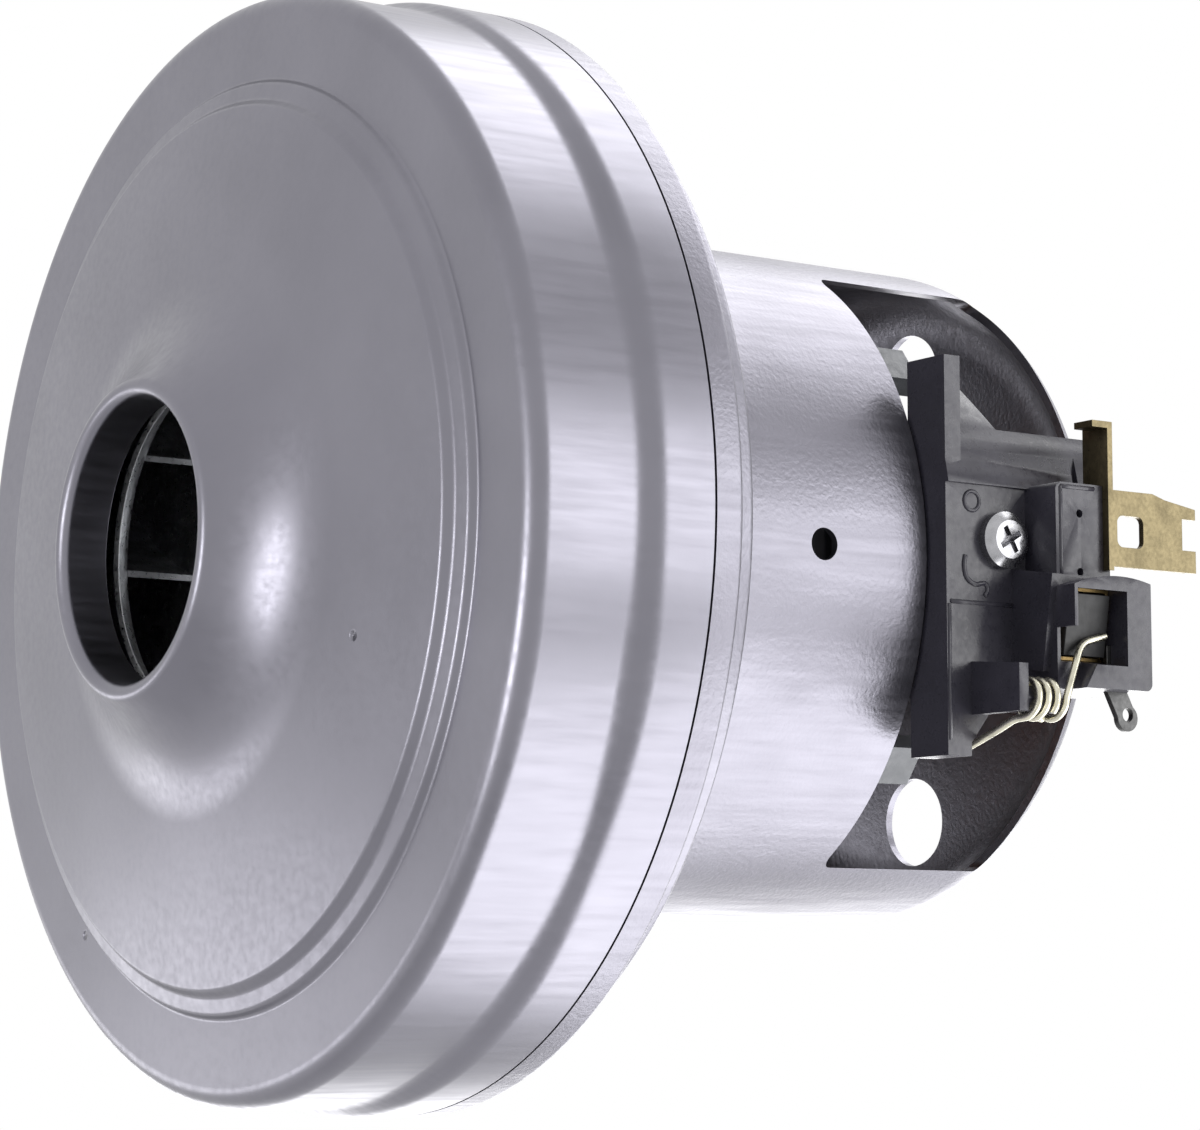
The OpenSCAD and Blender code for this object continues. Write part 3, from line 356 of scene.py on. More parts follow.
# The middle of a noise, where most of its values lie
NOISE_LOW = 0.3
NOISE_HIGH = 0.7
NOISE_ROUGHNESS = 0.55
# A wave texture at a scale of one has this much of a metre from band to band
WAVE_UNIT = 0.05


class Finish:
    """A material under construction, with its nodes to hand."""

    def __init__(self, name):
        self.material = bpy.data.materials.new(name)
        self.material.use_nodes = True
        self.tree = self.material.node_tree
        self.shader = self.tree.nodes["Principled BSDF"]
        self.coords = self.tree.nodes.new("ShaderNodeTexCoord").outputs["Object"]

    def put(self, socket, value):
        """Sets one value of the shader."""
        self.shader.inputs[socket].default_value = value

    def link(self, source, target):
        self.tree.links.new(source, target)

    def stretched(self, scale):
        """The object's own coordinates, scaled along each axis."""
        mapping = self.tree.nodes.new("ShaderNodeMapping")
        mapping.inputs["Scale"].default_value = scale
        self.link(self.coords, mapping.inputs["Vector"])
        return mapping.outputs["Vector"]

    def noise(self, size, detail=3.0, vector=None):
        """A noise whose patches are about size across, in metres."""
        texture = self.tree.nodes.new("ShaderNodeTexNoise")
        texture.inputs["Scale"].default_value = 1 / size
        texture.inputs["Detail"].default_value = detail
        texture.inputs["Roughness"].default_value = NOISE_ROUGHNESS
        self.link(vector or self.coords, texture.inputs["Vector"])
        return texture.outputs["Fac"]

    def waves(self, direction, spacing, distortion):
        """Bands side by side along one axis, with their spacing in metres."""
        texture = self.tree.nodes.new("ShaderNodeTexWave")
        texture.wave_type = "BANDS"
        texture.bands_direction = direction
        texture.inputs["Scale"].default_value = WAVE_UNIT / spacing
        texture.inputs["Distortion"].default_value = distortion
        self.link(self.coords, texture.inputs["Vector"])
        return texture

    def between(self, factor, low, high):
        """Maps the middle of a noise onto a range of values."""
        spread = self.tree.nodes.new("ShaderNodeMapRange")
        spread.inputs["From Min"].default_value = NOISE_LOW
        spread.inputs["From Max"].default_value = NOISE_HIGH
        spread.inputs["To Min"].default_value = low
        spread.inputs["To Max"].default_value = high
        self.link(factor, spread.inputs["Value"])
        return spread.outputs["Result"]

    def colours(self, factor, *stops):
        """Colours the surface with a ramp made of pairs of place and colour."""
        ramp = self.tree.nodes.new("ShaderNodeValToRGB")
        band = ramp.color_ramp
        while len(band.elements) < len(stops):
            band.elements.new(0.5)
        for element, (where, colour) in zip(band.elements, stops):
            element.position = where
            element.color = (*colour, 1)
        self.link(factor, ramp.inputs["Fac"])
        self.link(ramp.outputs["Color"], self.shader.inputs["Base Color"])

    def roughness(self, factor, low, high):
        """Lets the roughness follow the middle of a noise."""
        self.link(self.between(factor, low, high), self.shader.inputs["Roughness"])

    def near(self, places, radius):
        """Zero in the middle of each place and one from the radius on."""
        height = None
        for where in places:
            gap = self.tree.nodes.new("ShaderNodeVectorMath")
            gap.operation = "DISTANCE"
            gap.inputs[1].default_value = where
            self.link(self.coords, gap.inputs[0])
            rise = self.tree.nodes.new("ShaderNodeMapRange")
            rise.interpolation_type = "SMOOTHSTEP"
            rise.inputs["From Max"].default_value = radius
            self.link(gap.outputs["Value"], rise.inputs["Value"])
            if height is None:
                height = rise.outputs["Result"]
                continue
            lower = self.tree.nodes.new("ShaderNodeMath")
            lower.operation = "MINIMUM"
            self.link(height, lower.inputs[0])
            self.link(rise.outputs["Result"], lower.inputs[1])
            height = lower.outputs["Value"]
        return height

    def bump(self, height, depth, before=None):
        """Raises the surface by a height of zero to one times a depth, on top of a bump before it."""
        node = self.tree.nodes.new("ShaderNodeBump")
        node.inputs["Distance"].default_value = depth
        node.inputs["Strength"].default_value = 1.0
        self.link(height, node.inputs["Height"])
        if before is not None:
            self.link(before, node.inputs["Normal"])
        self.link(node.outputs["Normal"], self.shader.inputs["Normal"])
        return node.outputs["Normal"]


# Sizes of the patterns in the finishes
DENT_R = 0.7 * MM
DENT_DEPTH = 0.5 * MM
STEEL_CLOUD = 24 * MM
STREAK_SIZE = 1.1 * MM
STREAK_STRETCH = (1, 0.08, 1)
PLASTIC_CLOUD = 5 * MM
PLASTIC_GLOSS_SIZE = 0.9 * MM
PLASTIC_TEXTURE = 0.28 * MM
STAIN_SIZE = 2.4 * MM
METAL_GRAIN = 0.5 * MM
METAL_GRAIN_DEPTH = 0.004 * MM
SHEET_SPACING = 0.5 * MM
SHEET_DEPTH = 0.03 * MM
WIRE_SPACING = 0.6 * MM
WIRE_DEPTH = 0.12 * MM


def scaled(colour, factor, lift=0.0):
    """A colour made lighter or darker."""
    return tuple(min(1.0, c * factor + lift) for c in colour)


def drawn_steel(name, light, dark, rough, grain_size, grain_depth, dents=()):
    """Zinc plated sheet: soft cloudy sheen, fine grain and faint drawing marks along the motor axis."""
    steel = Finish(name)
    steel.put("Metallic", 1.0)
    steel.colours(steel.noise(STEEL_CLOUD, 4), (0.3, dark), (0.7, light))
    steel.roughness(steel.noise(STREAK_SIZE, 3, steel.stretched(STREAK_STRETCH)), rough - 0.05, rough + 0.06)
    before = steel.bump(steel.noise(grain_size, 2), grain_depth)
    if dents:
        steel.bump(steel.near(dents, DENT_R), DENT_DEPTH, before)
    return steel.material


def moulded_plastic(name, colour, rough, texture_depth):
    """Moulded plastic with a spark eroded texture."""
    plastic = Finish(name)
    plastic.put("Specular IOR Level", 0.55)
    plastic.colours(plastic.noise(PLASTIC_CLOUD, 3), (0.3, colour), (0.75, scaled(colour, 1.35, 0.004)))
    plastic.roughness(plastic.noise(PLASTIC_GLOSS_SIZE, 3), rough - 0.07, rough + 0.09)
    plastic.bump(plastic.noise(PLASTIC_TEXTURE, 2), texture_depth)
    return plastic.material


def worked_metal(name, colour, rough):
    """Plain cut or pressed metal with small stains and wear."""
    metal = Finish(name)
    metal.put("Metallic", 1.0)
    metal.colours(metal.noise(STAIN_SIZE, 5), (0.34, scaled(colour, 0.72)), (0.6, colour))
    metal.roughness(metal.noise(METAL_GRAIN, 3), rough - 0.08, rough + 0.1)
    metal.bump(metal.noise(METAL_GRAIN, 2), METAL_GRAIN_DEPTH)
    return metal.material


def laminations(name, light, dark):
    """Stacked sheets with their fine lines across the motor axis."""
    stack = Finish(name)
    stack.put("Metallic", 0.7)
    stack.put("Roughness", 0.55)
    sheets = stack.waves("Y", SHEET_SPACING, 0.4).outputs["Fac"]
    stack.colours(sheets, (0.1, dark), (0.5, light))
    stack.bump(sheets, SHEET_DEPTH)
    return stack.material


def wound_wire(name, colour):
    """Lacquered winding wire laid side by side."""
    winding = Finish(name)
    winding.put("Roughness", 0.3)
    turns = winding.waves("Z", WIRE_SPACING, 1.2)
    turns.inputs["Detail Scale"].default_value = 40
    winding.colours(turns.outputs["Fac"], (0.05, scaled(colour, 0.35)), (0.5, colour))
    winding.bump(turns.outputs["Fac"], WIRE_DEPTH)
    return winding.material


# Two small dents of handling on the fan cover, as places on its surface
COVER_DENTS = [(35.8 * MM, -26.3 * MM, -13.5 * MM), (-34.2 * MM, -22.5 * MM, -44.5 * MM)]
PLATED = (0.235, 0.23, 0.265)
PLATED_COVER_DARK = (0.205, 0.201, 0.232)
PLATED_HOUSING_DARK = (0.195, 0.19, 0.22)
COVER_GRAIN = (0.35 * MM, 0.003 * MM)
HOUSING_GRAIN = (0.6 * MM, 0.05 * MM)
cover_steel = drawn_steel("cover_steel", PLATED, PLATED_COVER_DARK, 0.33, *COVER_GRAIN, COVER_DENTS)
housing_steel = drawn_steel("housing_steel", PLATED, PLATED_HOUSING_DARK, 0.38, *HOUSING_GRAIN)
bracket_steel = worked_metal("bracket_steel", (0.62, 0.62, 0.64), 0.4)
screw_steel = worked_metal("screw_steel", (0.42, 0.42, 0.44), 0.26)
carrier_plastic = moulded_plastic("carrier_plastic", (0.036, 0.034, 0.046), 0.3, 0.010 * MM)
diffuser_plastic = moulded_plastic("diffuser_plastic", (0.02, 0.02, 0.022), 0.45, 0.02 * MM)
former_plastic = moulded_plastic("former_plastic", (0.11, 0.115, 0.125), 0.5, 0.02 * MM)
stack_steel = laminations("stack_steel", (0.3, 0.3, 0.32), (0.09, 0.09, 0.1))
coil_wire = wound_wire("coil_wire", (0.42, 0.13, 0.035))
bearing_steel = worked_metal("bearing_steel", (0.7, 0.7, 0.72), 0.18)
shaft_steel = worked_metal("shaft_steel", (0.6, 0.6, 0.62), 0.25)
hub_resin = moulded_plastic("hub_resin", (0.09, 0.03, 0.012), 0.4, 0.01 * MM)
copper = worked_metal("copper", (0.72, 0.33, 0.17), 0.25)
fan_aluminium = worked_metal("fan_aluminium", (0.75, 0.76, 0.78), 0.32)
zinc_yellow = worked_metal("zinc_yellow", (0.17, 0.14, 0.08), 0.34)
tinned = worked_metal("tinned", (0.10, 0.10, 0.10), 0.4)
guide_brass = worked_metal("guide_brass", (0.30, 0.21, 0.09), 0.4)
carbon = moulded_plastic("carbon", (0.02, 0.02, 0.021), 0.5, 0.006 * MM)
spring_steel = worked_metal("spring_steel", (0.72, 0.69, 0.56), 0.26)


# Fan cover

def fan_cover_outline():
    """Section of the fan cover's sheet, from the inlet's inner end round to the seat band."""
    lip_centre = Vector((INLET_R + LIP_ROUND, -COVER_FRONT + LIP_ROUND))
    start = lip_centre + LIP_ROUND * Vector((math.sin(LIP_ANGLE), -math.cos(LIP_ANGLE)))
    cone_end = Vector((CONE_R, -COVER_DEPTH - CONE_RISE))
    slope = math.tan(CONE_ANGLE)
    trumpet_r = (cone_end.y - start.y - slope * (cone_end.x - start.x)) / (
        math.cos(CONE_ANGLE) - math.cos(LIP_ANGLE) - slope * (math.sin(LIP_ANGLE) - math.sin(CONE_ANGLE)))
    centre = start + trumpet_r * Vector((math.sin(LIP_ANGLE), -math.cos(LIP_ANGLE)))
    path = [Vector((INLET_R, -COVER_FRONT + INLET_DEPTH))]
    path += arc(lip_centre, LIP_ROUND, 2 * QUARTER, 3 * QUARTER + LIP_ANGLE, CORNER_STEPS)
    path += arc(centre, trumpet_r, QUARTER + LIP_ANGLE, QUARTER + CONE_ANGLE, TRUMPET_STEPS)[1:]
    side_r = RIM_R - SIDE_STEP
    # The raised front meets the flat ring in two low steps with a narrow band between them
    path += eased([path[-1], cone_end, Vector((BAND_IN, -COVER_DEPTH - RING_RISE - BAND_RISE)),
                   Vector((RING_R - RING_FOOT, -COVER_DEPTH - RING_RISE)), Vector((RING_R, -COVER_DEPTH)),
                   Vector((side_r - COVER_CORNER, -COVER_DEPTH))], RING_EASE)[1:]
    path += arc((side_r - COVER_CORNER, -COVER_DEPTH + COVER_CORNER), COVER_CORNER, -QUARTER, 0, CORNER_STEPS)
    path += eased([path[-1], Vector((side_r, -SEAT_BAND - SIDE_STEP)), Vector((RIM_R, -SEAT_BAND + SIDE_STEP)),
                   Vector((RIM_R, -COVER_GAP))], COVER_EASE)[1:]
    return strip(path, COVER_SHEET)


def make_fan_cover():
    """The drawn cover with its inlet."""
    cover = soften(new_object("fan_cover_shell", spun(fan_cover_outline())), COVER_EDGE)
    place(cover, cover_steel, "root", "cover_steel", "fan_cover")


# Motor housing

def housing_outline():
    """Section of the housing's sheet, from the spigot inside the cover to the middle of the boss."""
    spigot_r = RIM_R - COVER_SHEET - SEAT_GAP
    path = [Vector((spigot_r, -SPIGOT_LEN)), Vector((spigot_r, 0))]
    path += eased([Vector((RIM_R, 0)), Vector((RIM_R, LIP_LEN)),
                   Vector((PAN_R + PAN_FLARE, LIP_LEN + PAN_STEP)), Vector((PAN_R, PAN_DEPTH)),
                   Vector((CUP_R + PAN_CORNER, PAN_DEPTH))], PAN_EASE)
    path += arc((CUP_R + PAN_CORNER, PAN_DEPTH + PAN_CORNER), PAN_CORNER, 3 * QUARTER, 2 * QUARTER,
                PAN_CORNER_STEPS)[1:]
    # Rings next to the side holes keep the long wall evenly shaded
    rings = (STAKE_Y - STAKE_RING, STAKE_Y + STAKE_RING, WINDOW_FRONT - WINDOW_RING)
    path += [Vector((CUP_R, y)) for y in rings]
    path += arc((CUP_R - CUP_CORNER, CUP_END - CUP_CORNER), CUP_CORNER, 0, QUARTER, CUP_CORNER_STEPS)
    path += eased([path[-1], Vector((BOSS_R + BOSS_FLARE, CUP_END)), Vector((BOSS_R, CUP_END + BOSS_STEP)),
                   Vector((BOSS_R, BOSS_END)), Vector((BOSS_CENTRE_R, BOSS_END))], BOSS_EASE)[1:]
    path.append(Vector((0, BOSS_END)))
    return strip(path, HOUSING_SHEET)


def housing_cutter():
    """Windows, vent holes, the small side holes and the bracket screws' holes in one tool."""
    bm = bmesh.new()
    for _, turn in SIDES:
        half = bmesh.new()
        window = rounded_outline((WINDOW_FRONT, -WINDOW_HALF), (WINDOW_REAR, WINDOW_HALF), WINDOW_CORNER)
        prism(half, window, WINDOW_CUT_IN, CUP_R + CUT_PAST, "x")
        round_bar(half, (STAKE_CUT_IN, STAKE_Y, 0), (1, 0, 0), STAKE_R, STAKE_CUT_LEN)
        turn_about_axis(half, turn)
        merge(bm, half)
    for z in (VENT_REACH, -VENT_REACH):
        round_bar(bm, (VENT_SIDE, CUP_END - CUP_CORNER, z), (0, 1, 0), VENT_R, CUP_CORNER + CUT_PAST)
    ring = (CUP_R + PAN_R) / 2
    hole_start = PAN_DEPTH - CUT_BEFORE
    for angle in BRACKET_HOLE_ANGLES:
        a = math.radians(angle)
        round_bar(bm, (ring * math.cos(a), hole_start, ring * math.sin(a)), (0, 1, 0), BRACKET_HOLE_R,
                  CUT_BEFORE + CUT_PAST, BRACKET_HOLE_SEGMENTS)
    return bm


def make_motor_housing():
    """The drawn housing with its openings cut."""
    housing = carve(new_object("motor_housing_shell", spun(housing_outline())), housing_cutter())
    bm = bmesh.new()
    bm.from_mesh(housing.data)
    bmesh.ops.remove_doubles(bm, verts=bm.verts, dist=CUT_WELD)
    smooth_mesh(housing.data, bm)
    soften(housing, HOUSING_EDGE, clamp=True)
    place(housing, housing_steel, "root", "housing_steel", "motor_housing")


def make_tongue(side, turn):
    """The steel tongue under a carrier, bent in from the window's front edge."""
    bm = bmesh.new()
    low, high = SCREW_Z - TONGUE_HALF, SCREW_Z + TONGUE_HALF
    under, sheet_middle = TONGUE_X - HOUSING_SHEET, CUP_R - HOUSING_SHEET / 2
    prism(bm, rounded_outline((TONGUE_ROOT, low), (TONGUE_END, high), TONGUE_CORNER), under, TONGUE_X, "x")
    foot = [(under, low), (sheet_middle, low), (sheet_middle, high), (under, high)]
    prism(bm, foot, TONGUE_ROOT - HOUSING_SHEET, TONGUE_ROOT, "y")
    turn_about_axis(bm, turn)
    tongue = soften(new_object("carrier_tongue_" + side, bm), TONGUE_EDGE)
    place(tongue, housing_steel, "root", "housing_steel", "motor_housing")


make_fan_cover()
make_motor_housing()
for side, turn in SIDES:
    make_tongue(side, turn)


# Pieces whose shape is the node's own

# Each piece: its node, its finish, its slot and the width of its edges in millimetres
PLAIN_PIECES = [
    ("bearing_bracket", bracket_steel, "bracket_steel", 0.15),
    ("bracket_screws", screw_steel, "screw_steel", 0.1),
    ("diffuser", diffuser_plastic, "black_plastic", 0.15),
    ("stator_core", stack_steel, "lamination", 0.1),
    ("field_coil_top", coil_wire, "enamelled_wire", 0.8),
    ("field_coil_bottom", coil_wire, "enamelled_wire", 0.8),
    ("coil_former_top", former_plastic, "former_plastic", 0.15),
    ("coil_former_bottom", former_plastic, "former_plastic", 0.15),
    ("front_bearing_outer", bearing_steel, "bearing_steel", 0.1),
    ("rear_bearing_outer", bearing_steel, "bearing_steel", 0.1),
    ("front_bearing_balls", bearing_steel, "bearing_steel", 0.02),
    ("rear_bearing_balls", bearing_steel, "bearing_steel", 0.02),
    ("front_bearing_inner", bearing_steel, "bearing_steel", 0.1),
    ("rear_bearing_inner", bearing_steel, "bearing_steel", 0.1),
    ("shaft", shaft_steel, "shaft_steel", 0.1),
    ("armature_core", stack_steel, "lamination", 0.1),
    ("armature_winding", coil_wire, "enamelled_wire", 0.6),
    ("commutator_hub", hub_resin, "hub_resin", 0.1),
    ("commutator_bars", copper, "copper", 0.05),
    ("impeller_front_disc", fan_aluminium, "impeller_aluminium", 0.1),
    ("impeller_back_disc", fan_aluminium, "impeller_aluminium", 0.1),
    ("impeller_blades", fan_aluminium, "impeller_aluminium", 0.06),
    ("fan_spacer", shaft_steel, "shaft_steel", 0.1),
    ("fan_washer", screw_steel, "screw_steel", 0.1),
    ("fan_nut", shaft_steel, "shaft_steel", 0.2),
    ("brush_carrier_near", carrier_plastic, "black_plastic", 0.28),
    ("brush_carrier_far", carrier_plastic, "black_plastic", 0.28),
    ("brush_guide_near", guide_brass, "brass", 0.08),
    ("brush_guide_far", guide_brass, "brass", 0.08),
    ("carbon_brush_near", carbon, "carbon", 0.1),
    ("carbon_brush_far", carbon, "carbon", 0.1),
    ("terminal_near", zinc_yellow, "brass", 0.14),
    ("terminal_far", zinc_yellow, "brass", 0.14),
    ("solder_tag_near", tinned, "brass", 0.12),
    ("solder_tag_far", tinned, "brass", 0.12),
    ("carrier_screws", screw_steel, "screw_steel", 0.12),
]


for node, finish, slot_name, width in PLAIN_PIECES:
    place(dressed(node, node + "_piece", width * MM), finish, nodes[node]["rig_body"], slot_name, node)


# Brush springs, one wire each from the leg through the curls to the arm

WIRE_R = 0.45 * MM
POST = Vector((52.4, 0, -17.6)) * MM
COIL_R = 2.2 * MM
COIL_FRONT = 54.3 * MM
COIL_PITCH = 1.4 * MM
FIXED_TURNS = 2.0
PARTING_TURNS = 0.125
ALL_TURNS = 3.25
CURL_RINGS = 48
WIRE_SIDES = 16
KNEE_EASE = 1.4 * MM
LEG = [Vector((43.8, 53.2, -22.8)) * MM, Vector((48.4, 53.8, -21.0)) * MM, Vector((50.8, 54.1, -20.0)) * MM]
ARM_KNEE = Vector((52.97, 62.8, -10.71)) * MM
ARM_TIP = Vector((53.13, 66.5, -9.72)) * MM


def coil_point(turn):
    """A place on the near coil's helix, after a number of turns."""
    a = turn * 2 * math.pi
    along = COIL_FRONT + turn * COIL_PITCH
    return Vector((POST.x + COIL_R * math.sin(a), along, POST.z - COIL_R * math.cos(a)))


def curls(first, last):
    """The helix from one count of turns to another."""
    steps = round((last - first) * CURL_RINGS)
    return [coil_point(first + (last - first) * i / steps) for i in range(steps + 1)]


def curve_through(points, steps=6):
    """A smooth path through a few points."""
    path = []
    full = [points[0] * 2 - points[1]] + list(points) + [points[-1] * 2 - points[-2]]
    for a, b, c, d in zip(full, full[1:], full[2:], full[3:]):
        for i in range(steps):
            t = i / steps
            path.append(0.5 * (2 * b + (c - a) * t + (2 * a - 5 * b + 4 * c - d) * t * t
                               + (3 * b - a - 3 * c + d) * t ** 3))
    return path + [points[-1]]


def wire(name, path, radius, sides):
    """A round closed wire along a path."""
    bm = bmesh.new()
    forward = (path[1] - path[0]).normalized()
    turn = forward.to_track_quat("Z", "Y").to_matrix().to_4x4()
    ring = bmesh.ops.create_circle(bm, cap_ends=True, segments=sides, radius=radius,
                                   matrix=Matrix.Translation(path[0]) @ turn)["verts"]
    edges = list({e for v in ring for e in v.link_edges})
    for i in range(1, len(path)):
        ahead = (path[min(i + 1, len(path) - 1)] - path[i - 1]).normalized()
        made = bmesh.ops.extrude_edge_only(bm, edges=edges)["geom"]
        ring = [g for g in made if isinstance(g, bmesh.types.BMVert)]
        edges = [g for g in made if isinstance(g, bmesh.types.BMEdge)]
        swing = forward.rotation_difference(ahead).to_matrix()
        bmesh.ops.rotate(bm, verts=ring, cent=path[i - 1], matrix=swing)
        bmesh.ops.translate(bm, verts=ring, vec=path[i] - path[i - 1])
        forward = ahead
    bmesh.ops.holes_fill(bm, edges=edges)
    return new_object(name, bm)


def make_spring(side, turn):
    """One side's spring: a fixed leg and coil, and an arm that follows the brush."""
    turned = Matrix.Rotation(turn, 3, "Y")
    leg_path = curve_through(LEG + [coil_point(0)])[:-1] + curls(0, FIXED_TURNS)
    arm_path = curls(FIXED_TURNS + PARTING_TURNS, ALL_TURNS)
    halfway = (arm_path[-1] + ARM_KNEE) / 2
    arm_path += eased([arm_path[-1], halfway, ARM_KNEE, ARM_TIP], KNEE_EASE)[1:]
    coil = wire("brush_spring_coil_%s_wire" % side, [turned @ p for p in leg_path], WIRE_R, WIRE_SIDES)
    arm = wire("brush_spring_arm_%s_wire" % side, [turned @ p for p in arm_path], WIRE_R, WIRE_SIDES)
    soften(coil, WIRE_EDGE, WIRE_EDGE_ANGLE)
    soften(arm, WIRE_EDGE, WIRE_EDGE_ANGLE)
    place(coil, spring_steel, "root", "spring_wire", "brush_spring_coil_" + side)
    place(arm, spring_steel, "spring_" + side, "spring_wire", "brush_spring_arm_" + side)


# Moulded relief on the carriers

RIB_R = 0.3 * MM
RIB_SIDES = 12
RIB_STEPS = 4
RIB_SINK = 0.1 * MM
ON_FACE = FACE_X - RIB_SINK
ON_BLOCK = BLOCK_X - RIB_SINK
# Each ridge: how far out it lies, and its route there along Y and Z in millimetres
RIDGES = {
    "land_ridge": (ON_FACE, [(49.9, 8.45), (62.2, 8.45)]),
    "cheek_ridge": (ON_FACE, [(49.0, -6.2), (49.0, -22.2)]),
    "cheek_top_ridge": (ON_FACE, [(49.2, -5.9), (58.8, -5.9)]),
    "block_ridge_top": (ON_BLOCK, [(61.7, 8.1), (67.0, 8.1)]),
    "block_ridge_side": (ON_BLOCK, [(61.7, 8.1), (61.7, -3.8)]),
    "block_ridge_foot": (ON_BLOCK, [(61.7, -3.8), (67.0, -3.8)]),
    "s_ridge": (FACE_X, [(51.5, -0.3), (51.3, -1.6), (51.7, -3.0), (53.0, -3.7), (54.5, -3.5), (54.9, -4.3),
                         (54.4, -5.0)]),
}
MARK_PLACE = Vector((FACE_X, 52.6 * MM, 6.2 * MM))
MARK_R = 1.15 * MM
MARK_WIRE_R = 0.24 * MM
MARK_STEPS = 40


def make_ridges(side, turn):
    """Low ridges that the mould leaves on a carrier's outer faces."""
    turned = Matrix.Rotation(turn, 3, "Y")
    for name, (out, route) in RIDGES.items():
        path = [turned @ Vector((out, y * MM, z * MM)) for y, z in route]
        ridge = wire("carrier_%s_%s" % (name, side), curve_through(path, RIB_STEPS), RIB_R, RIB_SIDES)
        place(ridge, carrier_plastic, "root", "black_plastic")


def make_round_mark(side, turn):
    """The small raised ring that the mould leaves beside the screw."""
    bm = bmesh.new()
    section = bmesh.ops.create_circle(bm, segments=RIB_SIDES, radius=MARK_WIRE_R,
                                      matrix=Matrix.Translation((0, MARK_R, 0)))["verts"]
    edges = list({e for v in section for e in v.link_edges})
    bmesh.ops.spin(bm, geom=section + edges, cent=(0, 0, 0), axis=(1, 0, 0), angle=2 * math.pi,
                   steps=MARK_STEPS, use_merge=True)
    bmesh.ops.translate(bm, verts=bm.verts, vec=MARK_PLACE)
    turn_about_axis(bm, turn)
    bmesh.ops.remove_doubles(bm, verts=bm.verts, dist=WELD)
    place(new_object("carrier_round_mark_" + side, bm), carrier_plastic, "root", "black_plastic")


for side, turn in SIDES:
    make_spring(side, turn)
    make_ridges(side, turn)
    make_round_mark(side, turn)


# Floor, world, lamps and camera

FLOOR_Z = -0.9
FLOOR_R = 1.1
FLOOR_SEGMENTS = 96
FLOOR_COLOUR = (0.86, 0.86, 0.86, 1)
FLOOR_ROUGH = 0.9
FLOOR_GLOW = 0.6
WHITE = (1, 1, 1, 1)
ROOM_COLOUR = (0.94, 0.95, 1.0, 1)
ROOM_LEVEL = 0.38
AIM = Vector((0, 0.03, 0))
# Each lamp: name, direction as azimuth and elevation in degrees, distance, width, height and level.
# The level is the lamp's own brightness beside a white of one.
LAMPS = [
    ("side", 125, 6, 1.0, 0.8, 0.5, 3.0),
    ("side_low", 150, -44, 0.8, 0.9, 0.8, 3.4),
    ("rear_top", 190, 50, 1.0, 0.8, 0.8, 3.2),
    ("back_low", 234, -18, 1.0, 0.9, 0.6, 2.6),
    ("front", 2, -6, 1.0, 0.36, 0.42, 6.0),
    ("face_low", -60, -13, 1.0, 0.7, 0.22, 2.1),
]


def seen_directly(tree):
    """One for rays from the camera, from a gloss or through glass, else zero."""
    rays = tree.nodes.new("ShaderNodeLightPath")
    seen = rays.outputs["Is Camera Ray"]
    for kind in ("Is Glossy Ray", "Is Transmission Ray"):
        either = tree.nodes.new("ShaderNodeMath")
        either.operation = "MAXIMUM"
        tree.links.new(seen, either.inputs[0])
        tree.links.new(rays.outputs[kind], either.inputs[1])
        seen = either.outputs["Value"]
    return seen


def make_floor():
    """A pale floor well below the motor that glows a little where it is seen directly."""
    bm = bmesh.new()
    bmesh.ops.create_circle(bm, cap_ends=True, segments=FLOOR_SEGMENTS, radius=FLOOR_R,
                            matrix=Matrix.Translation((0, 0, FLOOR_Z)))
    floor = new_object("floor", bm)
    paint = Finish("floor_paint")
    paint.put("Base Color", FLOOR_COLOUR)
    paint.put("Roughness", FLOOR_ROUGH)
    glow = paint.tree.nodes.new("ShaderNodeEmission")
    part = paint.tree.nodes.new("ShaderNodeMath")
    part.operation = "MULTIPLY"
    part.inputs[1].default_value = FLOOR_GLOW
    paint.link(seen_directly(paint.tree), part.inputs[0])
    mix = paint.tree.nodes.new("ShaderNodeMixShader")
    paint.link(part.outputs["Value"], mix.inputs["Fac"])
    paint.link(paint.shader.outputs["BSDF"], mix.inputs[1])
    paint.link(glow.outputs["Emission"], mix.inputs[2])
    paint.link(mix.outputs["Shader"], paint.tree.nodes["Material Output"].inputs["Surface"])
    floor.data.materials.append(paint.material)


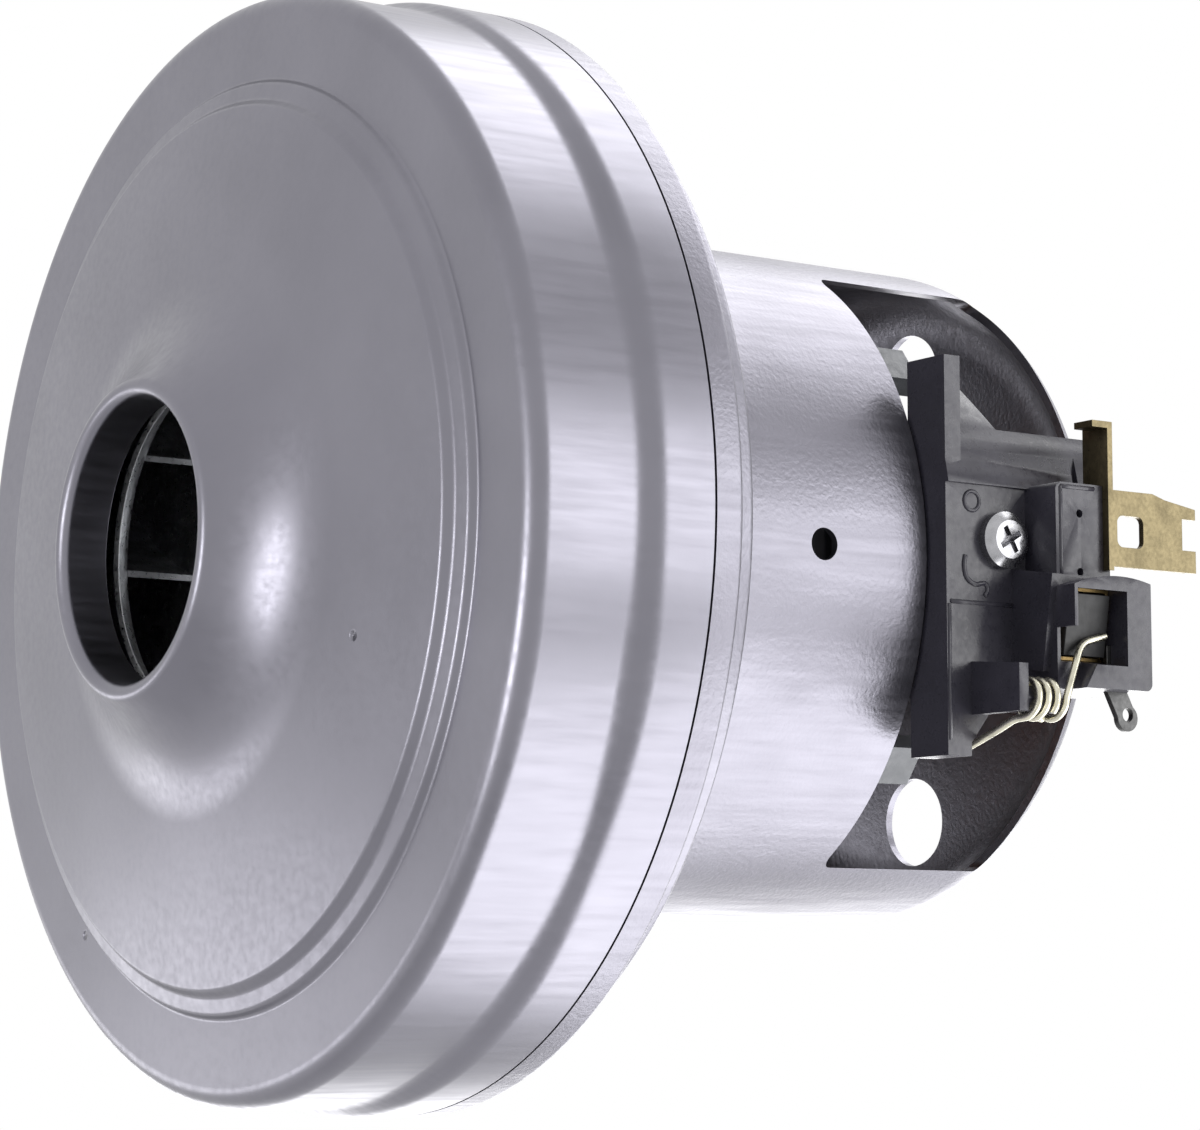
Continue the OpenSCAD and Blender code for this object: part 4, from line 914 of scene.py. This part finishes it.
def background(tree, colour, level):
    """A plain light from all round."""
    node = tree.nodes.new("ShaderNodeBackground")
    node.inputs["Color"].default_value = colour
    node.inputs["Strength"].default_value = level
    return node.outputs["Background"]


def make_world():
    """White where it is seen directly, and a soft grey room for everything else."""
    world = bpy.data.worlds.new("studio")
    bpy.context.scene.world = world
    world.use_nodes = True
    tree = world.node_tree
    tree.nodes.clear()
    mix = tree.nodes.new("ShaderNodeMixShader")
    out = tree.nodes.new("ShaderNodeOutputWorld")
    tree.links.new(seen_directly(tree), mix.inputs["Fac"])
    tree.links.new(background(tree, ROOM_COLOUR, ROOM_LEVEL), mix.inputs[1])
    tree.links.new(background(tree, WHITE, 1.0), mix.inputs[2])
    tree.links.new(mix.outputs["Shader"], out.inputs["Surface"])


def back_direction(azimuth, elevation):
    """From the motor towards a viewer, for angles in degrees."""
    a, e = math.radians(azimuth), math.radians(elevation)
    return Vector((math.sin(a) * math.cos(e), -math.cos(a) * math.cos(e), math.sin(e)))


def stand(name, data, location, back):
    """An object of lamp or camera data that looks against the direction back."""
    thing = bpy.data.objects.new(name, data)
    thing.rotation_mode = "QUATERNION"
    thing.location = location
    thing.rotation_quaternion = (-back).to_track_quat("-Z", "Y")
    bpy.context.scene.collection.objects.link(thing)
    return thing


def add_lamp(name, azimuth, elevation, distance, width, height, level):
    """A soft rectangular lamp that looks at the motor."""
    back = back_direction(azimuth, elevation)
    data = bpy.data.lights.new(name, "AREA")
    data.shape = "RECTANGLE"
    data.size = width
    data.size_y = height
    data.energy = level * math.pi * width * height
    stand(name, data, AIM + back * distance, back)


def make_camera():
    """The camera of the photographed view."""
    data = bpy.data.cameras.new("camera")
    data.lens = CAMERA_LENS
    data.sensor_width = SENSOR_WIDTH
    data.clip_start = CLIP_START
    data.clip_end = CLIP_END
    back = back_direction(CAMERA_AZIMUTH, CAMERA_ELEVATION)
    bpy.context.scene.camera = stand("camera", data, CAMERA_PLACE, back)


make_floor()
make_world()
for lamp in LAMPS:
    add_lamp(*lamp)
make_camera()
bpy.context.scene.view_settings.view_transform = "Standard"
